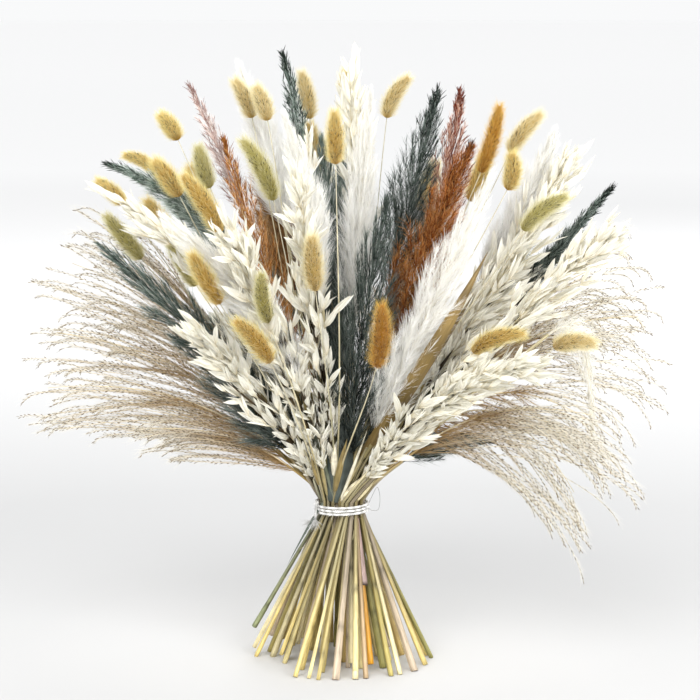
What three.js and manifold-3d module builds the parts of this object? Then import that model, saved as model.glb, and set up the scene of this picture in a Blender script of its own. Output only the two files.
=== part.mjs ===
// A tied bundle of dried grasses, standing on its splayed cut stems: dyed pampas plumes, bunny-tail
// grass, bleached oats and silver reed, held at the waist by a few turns of white string.
//
// Millimetres, +Z up, +X to the right and +Y away from the viewer. Every place below is measured from
// the middle of the string, and the finished group is lifted so that the cut ends stand on z = 0.

import * as THREE from "three";
import Module from "manifold-3d";

const wasm = await Module();
wasm.setup();

// ---------------------------------------------------------------- driving dimensions

const TIE_HEIGHT = 112; // floor to the middle of the string
const WAIST_RADIUS = 17.5; // of the stems where the string holds them
const FOOT_RADIUS = 76; // of the circle of cut ends on the floor
const WAIST_ZONE = 5; // the stems run straight up this far below and above the string's middle
const FOOT_TURN = THREE.MathUtils.degToRad(-30); // the spiral's turn between the string and the floor
const LEAVING_TURN = THREE.MathUtils.degToRad(45); // and of the stems' headings just above the string
const HEAD_TURN = THREE.MathUtils.degToRad(35); // and of the heads
const WIDEST_LEAN = THREE.MathUtils.degToRad(58); // lean of a head whose stem is outermost at the string
const LEAVING_LEAN = THREE.MathUtils.degToRad(42); // lean of that stem just above the string
const GAP = 0.3; // least air between two stems at the string
const CROWDING = 1.18; // a clump's place at the string, beside what its stems fill there

const STRING_RADIUS = 0.9;
const STRING_TURNS = 3;
const STRING_PITCH = 2.3;
const STRING_SIDES = 5;
const STEPS_PER_TURN = 14;
const STRING_START = 200; // degrees round the waist

// The string's two ends at the left: degrees round the waist, millimetres out of the wound string, and
// the height.
const FIRST_END = [
  [188, 4.5, -11],
  [191, 3, -8.5],
  [195, 1.2, -5.5],
];
const LAST_END = [
  [206, 1.8, 3],
  [209, 3, 0],
  [212, 3.8, -4],
  [214, 4.6, -8],
];

// Half thickness of each kind of stem: at its cut foot, at the string and under its head.
const STEMS = {
  plume: { foot: 2.4, waist: 1.5, neck: 1.1, sides: 5 },
  oats: { foot: 1.9, waist: 1.1, neck: 0.8, sides: 4 },
  bunny: { foot: 1.5, waist: 0.8, neck: 0.7, sides: 4 },
  reed: { foot: 1.8, waist: 1.2, neck: 1.0, sides: 4 },
};

// One stem is cut out of line: how far its foot is thrown outwards and how high above the floor it ends.
const ODD_CUTS = { oats_2: { throw: 1.2, lift: 16 } };

const CLUMP_OFFSET = 0.5; // from a clump's middle to each of its stems, at the string
const FOOT_OFFSET = 1.8; // clumped stems stand this much further apart at the foot, before the splay
const STANDING_SHARE = 0.6; // of the stems reach the floor
const LONGEST_LIFT = 9; // the others end at most this far above it
const THICKNESS_SPREAD = [0.85, 1.15]; // of the cut ends

const RISE_BANDS = [0.3, 0.65]; // a stem bends at these shares of its way from the string to its head
const LEAVING_PULL = 0.3; // how far it keeps its first direction, as a share of that way
const ARRIVING_PULL = 0.35; // and how far before the head it takes its last one
const STEM_BANDS = 3 + RISE_BANDS.length; // bands between the foot and the base of the head

const COLOURS = {
  slate: "#5f7579",
  rust: "#a5694b",
  rose: "#c39a92",
  ivory: "#f1ebe0",
  bunny: "#c9a860",
  oats: "#f2efe6",
  reed: "#cdbd9d",
  string: "#f7f7f5",
};
const ROUGHNESS = { grass: 0.9, string: 0.6 };
const SEEDS_PER_CLUMP = 1000; // so that no two stems share their draws

// ---------------------------------------------------------------- where the heads are
// Each row is one head: its base, its tip and its half width.

const PLUMES = {
  slate: [
    [[-57, -16, 74], [-171, -45, 196], 17],
    [[-74, 10, 168], [-169, 12, 247], 9],
    [[-20, 50, 188], [-44, 75, 325], 9],
    [[-8, 26, 154], [-15, 35, 266], 14],
    [[33, 7, 149], [69, 15, 301], 17],
    [[4, -8, 43], [33, -45, 231], 19],
    [[126, 23, 148], [196, 35, 228], 10],
    [[101, 62, 143], [142, 95, 225], 10],
    [[44, 28, 27], [112, 60, 37], 12],
    [[-30, 80, 110], [-60, 170, 210], 13],
    [[35, 75, 100], [80, 165, 200], 13],
    [[0, 70, 140], [5, 130, 275], 12],
  ],
  rust: [
    [[45, -13, 141], [92, -25, 265], 20],
    [[60, 30, 176], [86, 50, 298], 13],
    [[-48, 5, 150], [-85, 9, 265], 12],
    [[-35, 60, 150], [-70, 120, 250], 13],
  ],
  rose: [[[-74, 66, 210], [-114, 92, 300], 8]],
  ivory: [
    [[-14, -19, 153], [-41, -35, 287], 17],
    [[7, 15, 127], [21, 8, 302], 16],
    [[22, -18, 54], [105, -78, 251], 14],
    [[-29, -34, 86], [-124, -88, 220], 14],
    [[101, 35, 153], [157, 60, 270], 12],
    [[-42, 61, 195], [-78, 100, 317], 12],
    [[146, -35, 130], [178, -35, 54], 8],
    [[50, 85, 140], [95, 150, 245], 13],
    [[-55, 75, 105], [-125, 135, 190], 13],
  ],
};

const OATS = [
  [[-36, -14, 80], [-150, -40, 223], 16],
  [[-30, -19, 44], [-99, -60, 133], 17],
  [[-24, -32, 68], [-74, -95, 203], 22],
  [[-12, -30, 82], [-28, -85, 236], 16],
  [[9, 38, 160], [7, 52, 298], 16],
  [[63, -2, 92], [147, -5, 219], 22],
  [[70, -19, 81], [186, -50, 202], 24],
  [[38, -44, 56], [121, -110, 119], 22],
  [[82, 20, 119], [162, 40, 244], 20],
  [[-17, 3, 128], [-24, 6, 258], 12],
  [[-10, 60, 90], [-15, 160, 240], 20],
  [[60, 60, 70], [140, 140, 150], 22],
  [[-35, 60, 45], [-90, 160, 110], 20],
];

// Bunny tails grow in twos and threes whose stems run together at the string.
const BUNNIES = [
  [[[-66, 55, 278], [-78, 60, 304], 8], [[-54, 37, 277], [-62, 40, 300], 8]],
  [[[-120, 51, 262], [-132, 55, 279], 8], [[-138, 55, 238], [-160, 60, 250], 6]],
  [
    [[-115, -13, 226], [-132, -15, 250], 9],
    [[-94, 0, 231], [-102, 0, 259], 8],
  ],
  [[[-156, 0, 219], [-174, 0, 235], 7], [[-143, -8, 181], [-167, -10, 211], 8]],
  [
    [[-48, -33, 225], [-69, -40, 267], 9],
    [[-85, -41, 203], [-110, -50, 243], 9],
  ],
  [
    [[-50, -90, 146], [-54, -110, 181], 7],
    [[-49, -93, 119], [-71, -120, 150], 9],
    [[-84, -74, 157], [-102, -90, 192], 9],
  ],
  [
    [[24, -94, 116], [27, -130, 162], 9],
    [[-18, -81, 167], [-20, -100, 205], 9],
    [[-4, -70, 253], [-5, -78, 288], 8],
  ],
  [[[91, -83, 124], [124, -100, 139], 8], [[148, -63, 124], [175, -70, 128], 8]],
  [
    [[-24, 80, 276], [-30, 86, 309], 8],
    [[4, 88, 292], [4, 94, 310], 8],
    [[33, 75, 277], [49, 80, 306], 8],
  ],
  [[[99, 0, 242], [112, 0, 289], 8], [[122, 36, 254], [144, 40, 281], 8]],
  [[[117, -18, 231], [120, -20, 256], 8], [[128, -26, 203], [158, -30, 227], 8]],
  [[[-20, 95, 235], [-25, 110, 270], 9], [[14, 104, 238], [18, 117, 272], 9]],
  [[[60, 100, 205], [70, 118, 240], 9], [[95, 80, 215], [108, 90, 250], 9]],
  [
    [[-110, 95, 150], [-130, 110, 180], 9],
    [[-125, 70, 185], [-145, 78, 215], 9],
    [[-100, 95, 205], [-115, 108, 238], 9],
  ],
];

const REEDS = [
  [
    [[-40, -10, 32], [-150, -30, 60], 13],
    [[-51, -3, 43], [-233, -10, 85], 30],
    [[-56, 6, 55], [-228, 20, 126], 30],
  ],
  [
    [[-58, 14, 75], [-217, 40, 179], 30],
    [[-66, 4, 92], [-192, 10, 218], 24],
    [[-55, 40, 60], [-190, 110, 130], 28],
  ],
  [
    [[92, -5, 93], [229, -10, 139], 30],
    [[100, 8, 113], [222, 15, 185], 30],
    [[85, 30, 80], [205, 80, 150], 28],
  ],
  [
    [[77, -14, 69], [212, -30, 39], 34],
    [[71, 5, 58], [181, 10, -13], 34],
    [[60, -25, 50], [190, -75, 75], 28],
  ],
  [[[-48, 30, 36], [-170, 115, 55], 28], [[-38, 45, 38], [-110, 165, 70], 28]],
  [[[35, 50, 45], [110, 165, 75], 28], [[20, 55, 60], [30, 190, 140], 28]],
];

// ---------------------------------------------------------------- small helpers

function drawsFrom(seed) {
  let state = seed;
  return (low, high) => {
    state = (state + 0x6d2b79f5) | 0;
    let mixed = Math.imul(state ^ (state >>> 15), 1 | state);
    mixed = (mixed + Math.imul(mixed ^ (mixed >>> 7), 61 | mixed)) ^ mixed;
    return low + ((high - low) * ((mixed ^ (mixed >>> 14)) >>> 0)) / 2 ** 32;
  };
}

const point = (xyz) => new THREE.Vector3(...xyz);

// The part of a vector that is square to a unit axis, as a unit vector.
function squareTo(axis, vector) {
  return vector.clone().addScaledVector(axis, -vector.dot(axis)).normalize();
}

// ---------------------------------------------------------------- the stems' places at the string
// A slot is a point of the unit disc: the plan of the waist, and at the same time the fan of headings
// above it, so that neighbours at the string stay neighbours all the way up and down.

function slotFacing(direction) {
  const lean = direction.angleTo(new THREE.Vector3(0, 0, 1)) / WIDEST_LEAN;
  const heading = Math.atan2(direction.y, direction.x) - HEAD_TURN;
  const far = Math.min(lean, 1);
  return new THREE.Vector2(far * Math.cos(heading), far * Math.sin(heading));
}

function headDirection(stem) {
  return stem.base.clone().normalize().add(stem.tip.clone().normalize());
}

// Slots start where their heads point and are pushed apart until every stem has room at the string.
function settleSlots(clumps) {
  const SETTLING_ROUNDS = 400;
  const PULLED_ROUNDS = 300;
  const PULL = 0.04;
  for (const clump of clumps) {
    const sum = new THREE.Vector3();
    clump.stems.forEach((stem) => sum.add(headDirection(stem).normalize()));
    clump.wish = slotFacing(sum);
    clump.slot = clump.wish.clone();
  }
  const area = clumps.reduce((sum, clump) => sum + clump.room ** 2, 0);
  for (let round = 0; round < SETTLING_ROUNDS; round++) {
    const centre = new THREE.Vector2();
    for (const clump of clumps) {
      if (round < PULLED_ROUNDS) clump.slot.lerp(clump.wish, PULL);
      centre.addScaledVector(clump.slot, clump.room ** 2 / area);
    }
    clumps.forEach((clump) => clump.slot.sub(centre));
    clumps.forEach((one, i) => {
      for (const other of clumps.slice(i + 1)) {
        const apart = other.slot.clone().sub(one.slot);
        const short = one.room + other.room - apart.length();
        if (short <= 0) continue;
        apart.setLength(short / 2);
        one.slot.sub(apart);
        other.slot.add(apart);
      }
    });
    clumps.forEach((clump) => clump.slot.clampLength(0, 1 - clump.room));
  }
}

// ---------------------------------------------------------------- skins: rings, bands and spikes
// A skin is a closed surface in the making: its points, its finished triangles and the quads that may
// still be raised into spikes.

function addRing(skin, at, ahead, across, radius, sides, turn, level) {
  const over = ahead.clone().cross(across);
  const ring = [];
  for (let side = 0; side < sides; side++) {
    const angle = turn + (2 * Math.PI * side) / sides;
    const spoke = across.clone().multiplyScalar(Math.cos(angle));
    spoke.addScaledVector(over, Math.sin(angle)).multiplyScalar(radius);
    if (level) spoke.addScaledVector(ahead, -spoke.z / ahead.z);
    ring.push(skin.points.push(at.clone().add(spoke)) - 1);
  }
  return ring;
}

// Strings rings along the stations from a first polygon, and closes them with a point where the last
// station has no radius. Returns the quads, band by band.
function addBands(skin, first, stations, across, turn) {
  const bands = [];
  let lower = first;
  stations.forEach((station, i) => {
    if (i === 0) return;
    const after = stations[Math.min(i + 1, stations.length - 1)].at;
    const ahead = after.clone().sub(stations[i - 1].at).normalize();
    across = squareTo(ahead, across);
    const next = (k) => (k + 1) % lower.length;
    if (station.radius === 0) {
      const pole = skin.points.push(station.at.clone()) - 1;
      lower.forEach((corner, k) => skin.triangles.push([corner, lower[next(k)], pole]));
      return;
    }
    const upper = addRing(
      skin, station.at, ahead, across, station.radius, lower.length, turn, station.level,
    );
    bands.push(lower.map((corner, k) => [corner, lower[next(k)], upper[next(k)], upper[k]]));
    lower = upper;
  });
  return bands;
}

function closeQuad(skin, [a, b, c, d]) {
  skin.triangles.push([a, b, c], [a, c, d]);
}

// A quad raised into a spike.
function raiseQuad(skin, quad, apex) {
  const pole = skin.points.push(apex) - 1;
  quad.forEach((corner, k) => skin.triangles.push([corner, quad[(k + 1) % 4], pole]));
}

function middleOf(skin, corners) {
  const sum = new THREE.Vector3();
  corners.forEach((corner) => sum.add(skin.points[corner]));
  return sum.divideScalar(corners.length);
}

// The direction that a quad faces.
function facing(skin, [a, b, c, d]) {
  const rising = skin.points[c].clone().sub(skin.points[a]);
  const crossing = skin.points[d].clone().sub(skin.points[b]);
  return rising.cross(crossing).normalize();
}

// A direction square to a unit axis.
function besideAxis(axis) {
  const alongX = Math.abs(axis.x) > 0.9;
  return squareTo(axis, alongX ? new THREE.Vector3(0, 0, 1) : new THREE.Vector3(1, 0, 0));
}

// The skin of a tube with a flat start, and its bands of quads, which are still open.
function startSkin(stations, sides) {
  const skin = { points: [], triangles: [] };
  const [start, second] = stations;
  const ahead = second.at.clone().sub(start.at).normalize();
  const across = besideAxis(ahead);
  const foot = addRing(skin, start.at, ahead, across, start.radius, sides, 0, start.level);
  foot.slice(2).forEach((corner, k) => skin.triangles.push([foot[0], corner, foot[k + 1]]));
  const bands = addBands(skin, foot, stations, across, 0);
  return { skin, bands };
}

function closedTube(stations, sides) {
  const { skin, bands } = startSkin(stations, sides);
  bands.flat().forEach((quad) => closeQuad(skin, quad));
  return solidOf(skin);
}

function solidOf(skin) {
  const vertProperties = new Float32Array(skin.points.flatMap((p) => p.toArray()));
  const triVerts = new Uint32Array(skin.triangles.flat());
  return new wasm.Manifold(new wasm.Mesh({ numProp: 3, vertProperties, triVerts }));
}

// ---------------------------------------------------------------- room for outgrowths
// Every stem, head and outgrowth is remembered as round bars, and a later outgrowth of another clump
// stays clear of them.

const bars = [];

function rememberBars(owner, stations) {
  stations.slice(1).forEach((station, i) => {
    const from = stations[i];
    const radius = Math.max(from.reach ?? from.radius, station.reach ?? station.radius);
    bars.push({ owner, from: from.at, to: station.at, radius });
  });
}

// Least distance between two straight pieces.
function distanceBetween(a, b, c, d) {
  const u = b.clone().sub(a);
  const v = d.clone().sub(c);
  const w = a.clone().sub(c);
  const uu = u.dot(u);
  const uv = u.dot(v);
  const vv = v.dot(v);
  const slant = uu * vv - uv * uv;
  const clamp = (share) => THREE.MathUtils.clamp(share, 0, 1);
  let s = slant > 1e-9 ? clamp((uv * v.dot(w) - vv * u.dot(w)) / slant) : 0;
  const t = clamp((uv * s + v.dot(w)) / vv);
  s = clamp((uv * t - u.dot(w)) / uu);
  return w.addScaledVector(u, s).addScaledVector(v, -t).length();
}

function isClear(owner, stations) {
  return stations.slice(1).every((station, i) =>
    bars.every(
      (bar) =>
        bar.owner === owner ||
        distanceBetween(stations[i].at, station.at, bar.from, bar.to) >
          bar.radius + Math.max(stations[i].radius, station.radius) + GAP,
    ),
  );
}

// ---------------------------------------------------------------- stems

// The stations of a stem from its cut foot to the base of its head, and the curve of its head.
function layStem(clump, stem, draw) {
  const size = STEMS[clump.kind];
  const odd = ODD_CUTS[clump.name] ?? { throw: 1, lift: 0 };
  const waist = clump.slot.clone().multiplyScalar(WAIST_RADIUS).add(stem.offset);
  const foot = clump.slot.clone().multiplyScalar(WAIST_RADIUS);
  foot.addScaledVector(stem.offset, FOOT_OFFSET);
  foot.multiplyScalar((odd.throw * FOOT_RADIUS) / WAIST_RADIUS);
  foot.rotateAround(new THREE.Vector2(), FOOT_TURN);
  const low = new THREE.Vector3(waist.x, waist.y, -WAIST_ZONE);
  const high = new THREE.Vector3(waist.x, waist.y, WAIST_ZONE);
  const cut = new THREE.Vector3(foot.x, foot.y, -TIE_HEIGHT);
  const stands = draw(0, 1) < STANDING_SHARE;
  const lift = odd.lift || (stands ? 0 : draw(0, LONGEST_LIFT));
  cut.lerp(low, lift / (TIE_HEIGHT - WAIST_ZONE));

  const heading = Math.atan2(waist.y, waist.x) + LEAVING_TURN;
  const lean = (waist.length() / WAIST_RADIUS) * LEAVING_LEAN;
  const outwards = new THREE.Vector3(Math.cos(heading), Math.sin(heading), 0);
  const leaving = new THREE.Vector3(0, 0, Math.cos(lean)).addScaledVector(outwards, Math.sin(lean));
  const radial = stem.base.clone().normalize();
  const length = high.distanceTo(stem.base);
  const rise = new THREE.CubicBezierCurve3(
    high,
    high.clone().addScaledVector(leaving, LEAVING_PULL * length),
    stem.base.clone().addScaledVector(radial, -ARRIVING_PULL * length),
    stem.base,
  );
  const reach = stem.base.distanceTo(stem.tip);
  stem.head = new THREE.QuadraticBezierCurve3(
    stem.base,
    stem.base.clone().addScaledVector(radial, reach / 2),
    stem.tip,
  );
  const thick = draw(...THICKNESS_SPREAD);
  const stations = [
    { at: cut, radius: size.foot * thick, level: true },
    { at: low, radius: size.waist, level: true },
    { at: high, radius: size.waist, level: true },
  ];
  for (const share of RISE_BANDS) {
    const radius = THREE.MathUtils.lerp(size.waist, size.neck, share);
    stations.push({ at: rise.getPoint(share), radius });
  }
  stations.push({ at: stem.base.clone(), radius: size.neck });
  return stations;
}

// ---------------------------------------------------------------- heads that are covered all over

// How wide a head is along its length, as a share of its widest. A plume is widest below its middle
// and runs out to a point, and a bunny tail is blunt at its base.
function plumeShape(share) {
  const LOW = 0.62;
  const FULL = 0.7;
  return Math.sin(Math.PI * share ** LOW) ** FULL;
}

function tailShape(share) {
  const BLUNT = 0.06;
  const FULL = 0.6;
  return Math.sin(Math.PI * (BLUNT + (1 - BLUNT) * share)) ** FULL;
}

const TUFT_HEIGHT = [0.7, 1]; // of a tuft, beside the rest of the head's half width
const TUFT_LEAN = [0.45, 0.7]; // towards the tip, as a share of its band

// A tapering core whose whole surface is raised into tufts that lean towards the tip.
function addTuftedHead(stem, stations, style) {
  const { rings, shape, core, tuft } = style;
  for (let ring = 1; ring <= rings; ring++) {
    const share = ring / (rings + 1);
    const wide = stem.half * shape(share);
    stations.push({ at: stem.head.getPoint(share), radius: wide * core, reach: wide * tuft });
  }
  stations.push({ at: stem.tip, radius: 0, reach: 1 });
}

function raiseTufts(skin, bands, stations, stem, style, draw) {
  const firstBand = bands.length - style.rings;
  bands.forEach((band, i) => {
    if (i < firstBand) {
      band.forEach((quad) => closeQuad(skin, quad));
      return;
    }
    const from = stations[i];
    const to = stations[i + 1];
    const ahead = to.at.clone().sub(from.at);
    const share = (i - firstBand + 0.5) / (style.rings + 1);
    const height = stem.half * style.shape(share) * (1 - style.core);
    for (const quad of band) {
      const apex = middleOf(skin, quad);
      const out = squareTo(ahead.clone().normalize(), facing(skin, quad));
      apex.addScaledVector(out, height * draw(...TUFT_HEIGHT));
      apex.addScaledVector(ahead, draw(...TUFT_LEAN));
      raiseQuad(skin, quad, apex);
    }
  });
}

const PLUME_STYLE = { rings: 7, shape: plumeShape, core: 0.42, tuft: 1.05 };
const TAIL_STYLE = { rings: 3, shape: tailShape, core: 0.62, tuft: 1.05 };

function tuftedStem(clump, stem, style, draw) {
  const stations = layStem(clump, stem, draw);
  addTuftedHead(stem, stations, style);
  rememberBars(clump.name, stations);
  return () => {
    const { skin, bands } = startSkin(stations, STEMS[clump.kind].sides);
    raiseTufts(skin, bands, stations, stem, style, draw);
    return solidOf(skin);
  };
}

// ---------------------------------------------------------------- outgrowths
// Spikelets and branches are closed tubes whose roots lie on the middle of the stem that they grow from.

const GOLDEN_ANGLE = Math.PI * (3 - Math.sqrt(5));
const OUTGROWTH_SIDES = 3;

// Sprouts round a stem, between two of its stations: each one's root, the way ahead and the way out.
function sprouts(from, to, count, turn) {
  const ahead = to.at.clone().sub(from.at).normalize();
  const beside = besideAxis(ahead);
  return Array.from({ length: count }, (_, k) => ({
    root: from.at.clone().lerp(to.at, (k + 0.5) / count),
    ahead,
    out: beside.clone().applyAxisAngle(ahead, GOLDEN_ANGLE * (turn + k)),
  }));
}

// A stem joined with its outgrowths, without those that another clump leaves no room for.
function joinOutgrowths(clump, stations, outgrowths) {
  let whole = closedTube(stations, STEMS[clump.kind].sides);
  for (const outgrowth of outgrowths) {
    if (!isClear(clump.name, outgrowth)) continue;
    rememberBars(clump.name, outgrowth);
    whole = whole.add(closedTube(outgrowth, OUTGROWTH_SIDES));
  }
  return whole;
}

// ---------------------------------------------------------------- oats

const SPRAY = {
  axis: [0.8, 0.5], // half thickness of a spray's axis at its base and near its tip
  bands: 4,
  spikeletsPerBand: 2,
  open: [0.45, 0.85], // radians between a spikelet and the axis
  shortest: 0.75, // spikelet, beside one that reaches the spray's half width
  root: 0.5, // half thickness of a spikelet where it leaves the axis
  belly: { radius: 2.2, at: 0.62 },
};

// A slender axis with spikelets all round it, which swell and end in a point. The first ones grow on
// the last stretch of the stem.
function oatSpray(clump, stem, draw) {
  const stations = layStem(clump, stem, draw);
  for (let band = 1; band <= SPRAY.bands; band++) {
    const share = band / (SPRAY.bands + 1);
    stations.push({ at: stem.head.getPoint(share), radius: THREE.MathUtils.lerp(...SPRAY.axis, share) });
  }
  stations.push({ at: stem.tip, radius: 0 });
  rememberBars(clump.name, stations);
  return () => {
    const spikelets = stations.slice(STEM_BANDS - 1, -1).flatMap((from, i) => {
      const to = stations[STEM_BANDS + i];
      const places = sprouts(from, to, SPRAY.spikeletsPerBand, SPRAY.spikeletsPerBand * i);
      return places.map((place) => spikeletOn(place, stem.half, draw));
    });
    return joinOutgrowths(clump, stations, spikelets);
  };
}

function spikeletOn({ root, ahead, out }, half, draw) {
  const open = draw(...SPRAY.open);
  const line = out.clone().multiplyScalar(Math.sin(open)).addScaledVector(ahead, Math.cos(open));
  const length = (half / Math.sin(open)) * draw(SPRAY.shortest, 1);
  const along = (share) => root.clone().addScaledVector(line, share * length);
  return [
    { at: root, radius: SPRAY.root },
    { at: along(SPRAY.belly.at), radius: SPRAY.belly.radius },
    { at: along(1), radius: 0 },
  ];
}

// ---------------------------------------------------------------- silver reed

const FAN = {
  axisShare: 0.3, // branches leave the first part of a panicle's axis
  axisBands: 2,
  axisRadius: 0.9,
  tipBand: 0.65, // the rest of the axis is fine and has one bend
  fineRadius: 0.45,
  branchesPerBand: 3,
  branchRadius: 0.42,
  branchBands: [0, 0.5, 1],
  sag: 0.12, // how high a branch bows and at most drops, as a share of the panicle's reach
  bulge: 0.3, // how far a branch bows outwards, as a share of the panicle's half width
  length: [0.8, 1], // of a branch, as a share of the way from its root to the panicle's tip
  spread: [0.5, 1], // how far outwards its end lies, as a share of the panicle's half width
  drop: [0.2, 1], // and how far it drops, as a share of the sag
};

// A short axis whose long fine branches fan out and bow under their own weight.
function reedPanicle(clump, stem, draw) {
  const stations = layStem(clump, stem, draw);
  for (let band = 1; band <= FAN.axisBands; band++) {
    const share = (FAN.axisShare * band) / FAN.axisBands;
    stations.push({ at: stem.head.getPoint(share), radius: FAN.axisRadius });
  }
  stations.push({ at: stem.head.getPoint(FAN.tipBand), radius: FAN.fineRadius });
  stations.push({ at: stem.tip, radius: 0 });
  rememberBars(clump.name, stations);
  return () => {
    const branches = stations.slice(STEM_BANDS, STEM_BANDS + FAN.axisBands).flatMap((from, i) => {
      const to = stations[STEM_BANDS + i + 1];
      const places = sprouts(from, to, FAN.branchesPerBand, FAN.branchesPerBand * i);
      return places.map((place) => fanBranch(place, stem, draw));
    });
    return joinOutgrowths(clump, stations, branches);
  };
}

// A branch that leaves towards its own side of the fan.
function fanBranch({ root, out }, stem, draw) {
  const sag = FAN.sag * stem.base.distanceTo(stem.tip);
  const end = root.clone().lerp(stem.tip, draw(...FAN.length));
  end.addScaledVector(out, stem.half * draw(...FAN.spread));
  end.z -= sag * draw(...FAN.drop);
  const knee = root.clone().lerp(end, 0.5).addScaledVector(out, stem.half * FAN.bulge);
  knee.z += sag;
  const bow = new THREE.QuadraticBezierCurve3(root, knee, end);
  return FAN.branchBands.map((share) => ({
    at: bow.getPoint(share),
    radius: share === 1 ? 0 : FAN.branchRadius,
  }));
}

// ---------------------------------------------------------------- the string

// A point beside the waist: an angle round it, how far out of the wound string, and a height.
function besideWaist(degrees, out, z) {
  const angle = THREE.MathUtils.degToRad(degrees);
  const radius = WAIST_RADIUS + GAP + STRING_RADIUS + out;
  return new THREE.Vector3(radius * Math.cos(angle), radius * Math.sin(angle), z);
}

// A few turns round the stems, with both ends hanging at the left.
function tieString() {
  const rise = STRING_TURNS * STRING_PITCH;
  const steps = STEPS_PER_TURN * STRING_TURNS;
  const path = FIRST_END.map((place) => besideWaist(...place));
  for (let step = 0; step <= steps; step++) {
    const degrees = STRING_START + (360 * step) / STEPS_PER_TURN;
    path.push(besideWaist(degrees, 0, (step / steps - 0.5) * rise));
  }
  path.push(...LAST_END.map((place) => besideWaist(...place)));
  const stations = path.map((at, i) => ({ at, radius: i === path.length - 1 ? 0 : STRING_RADIUS }));
  return closedTube(stations, STRING_SIDES);
}

// ---------------------------------------------------------------- the clumps

function readStem([base, tip, half]) {
  return { base: point(base), tip: point(tip), half, offset: new THREE.Vector2() };
}

// How much of the waist's plan a clump's stems need, in slots.
function roomFor(kind, stems) {
  const several = stems.length > 1 ? CLUMP_OFFSET : 0;
  return (CROWDING * (STEMS[kind].waist + several + GAP / 2)) / WAIST_RADIUS;
}

function clumpOf(name, kind, colour, rows) {
  const stems = rows.map(readStem);
  return { name, kind, colour, stems, room: roomFor(kind, stems) };
}

const clumps = [
  ...Object.entries(PLUMES).flatMap(([colour, rows]) =>
    rows.map((row, i) => clumpOf(`plume_${colour}_${i + 1}`, "plume", colour, [row])),
  ),
  ...BUNNIES.map((rows, i) => clumpOf(`bunny_tails_${i + 1}`, "bunny", "bunny", rows)),
  ...OATS.map((row, i) => clumpOf(`oats_${i + 1}`, "oats", "oats", [row])),
  ...REEDS.map((rows, i) => clumpOf(`reed_${i + 1}`, "reed", "reed", rows)),
];

settleSlots(clumps);
for (const clump of clumps.filter((each) => each.stems.length > 1)) {
  for (const stem of clump.stems) {
    stem.offset = slotFacing(headDirection(stem)).sub(clump.wish).setLength(CLUMP_OFFSET);
  }
}

const MAKERS = {
  plume: (clump, stem, draw) => tuftedStem(clump, stem, PLUME_STYLE, draw),
  bunny: (clump, stem, draw) => tuftedStem(clump, stem, TAIL_STYLE, draw),
  oats: oatSpray,
  reed: reedPanicle,
};

// All stems are laid before any outgrowth looks for room.
clumps.forEach((clump, i) => {
  clump.makers = clump.stems.map((stem, k) => {
    const draw = drawsFrom(SEEDS_PER_CLUMP * (i + 1) + k);
    return MAKERS[clump.kind](clump, stem, draw);
  });
});

// ---------------------------------------------------------------- the group

function meshOf(name, solid, colour, roughness) {
  const { vertProperties, triVerts } = solid.getMesh();
  const geometry = new THREE.BufferGeometry();
  geometry.setAttribute("position", new THREE.BufferAttribute(vertProperties, 3));
  geometry.setIndex(new THREE.BufferAttribute(triVerts, 1));
  geometry.computeVertexNormals();
  const material = new THREE.MeshStandardMaterial({ color: colour, roughness, metalness: 0 });
  const mesh = new THREE.Mesh(geometry, material);
  mesh.name = name;
  return mesh;
}

const bundle = new THREE.Group();
for (const clump of clumps) {
  const solid = clump.makers.map((make) => make()).reduce((whole, next) => whole.add(next));
  bundle.add(meshOf(clump.name, solid, COLOURS[clump.colour], ROUGHNESS.grass));
}
bundle.add(meshOf("tie_string", tieString(), COLOURS.string, ROUGHNESS.string));

// The origin is under the middle of the bundle's box, on the floor.
const middle = new THREE.Box3().setFromObject(bundle).getCenter(new THREE.Vector3());
bundle.position.set(-middle.x, -middle.y, TIE_HEIGHT);

const group = new THREE.Group();
group.add(bundle);

export default group;
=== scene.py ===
"""The looks of a tied bundle of dried grasses: dyed and bleached pampas plumes, bunny-tail grass,
bleached oats and silver reed, held at the waist by a few turns of white string.

Sizes and places are millimetres from the middle of the string, with +X to the right and +Y away from
the viewer. They become metres from the floor when a mesh is made."""

import cmath
import math

import bpy
import numpy as np
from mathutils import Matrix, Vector


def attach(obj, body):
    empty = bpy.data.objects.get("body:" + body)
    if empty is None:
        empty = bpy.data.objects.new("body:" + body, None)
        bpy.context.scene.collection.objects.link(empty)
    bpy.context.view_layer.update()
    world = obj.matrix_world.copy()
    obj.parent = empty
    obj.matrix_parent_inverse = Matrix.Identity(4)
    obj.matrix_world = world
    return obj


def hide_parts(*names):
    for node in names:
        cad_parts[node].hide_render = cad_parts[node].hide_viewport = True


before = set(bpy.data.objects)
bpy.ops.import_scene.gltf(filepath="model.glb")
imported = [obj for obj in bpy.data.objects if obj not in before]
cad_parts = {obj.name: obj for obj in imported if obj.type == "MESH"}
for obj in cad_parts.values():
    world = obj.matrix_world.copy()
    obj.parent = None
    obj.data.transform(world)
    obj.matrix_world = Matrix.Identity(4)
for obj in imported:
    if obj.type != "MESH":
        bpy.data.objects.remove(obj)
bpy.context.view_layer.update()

# ---- driving dimensions

MM = 0.001
TIE_HEIGHT = 112  # floor to the middle of the string
WAIST_RADIUS = 17.5  # of the stems where the string holds them
FOOT_RADIUS = 76  # of the circle of cut ends on the floor
WAIST_ZONE = 5  # the stems run straight up this far below and above the string's middle
FOOT_TURN = math.radians(-30)  # the spiral's turn between the string and the floor
LEAVING_TURN = math.radians(45)  # and of the stems' headings just above the string
HEAD_TURN = math.radians(35)  # and of the heads
WIDEST_LEAN = math.radians(58)  # lean of a head whose stem is outermost at the string
LEAVING_LEAN = math.radians(42)  # lean of that stem just above the string
GAP = 0.3  # least air between two stems at the string
CROWDING = 1.18  # a clump's place at the string, beside what its stems fill there

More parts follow.
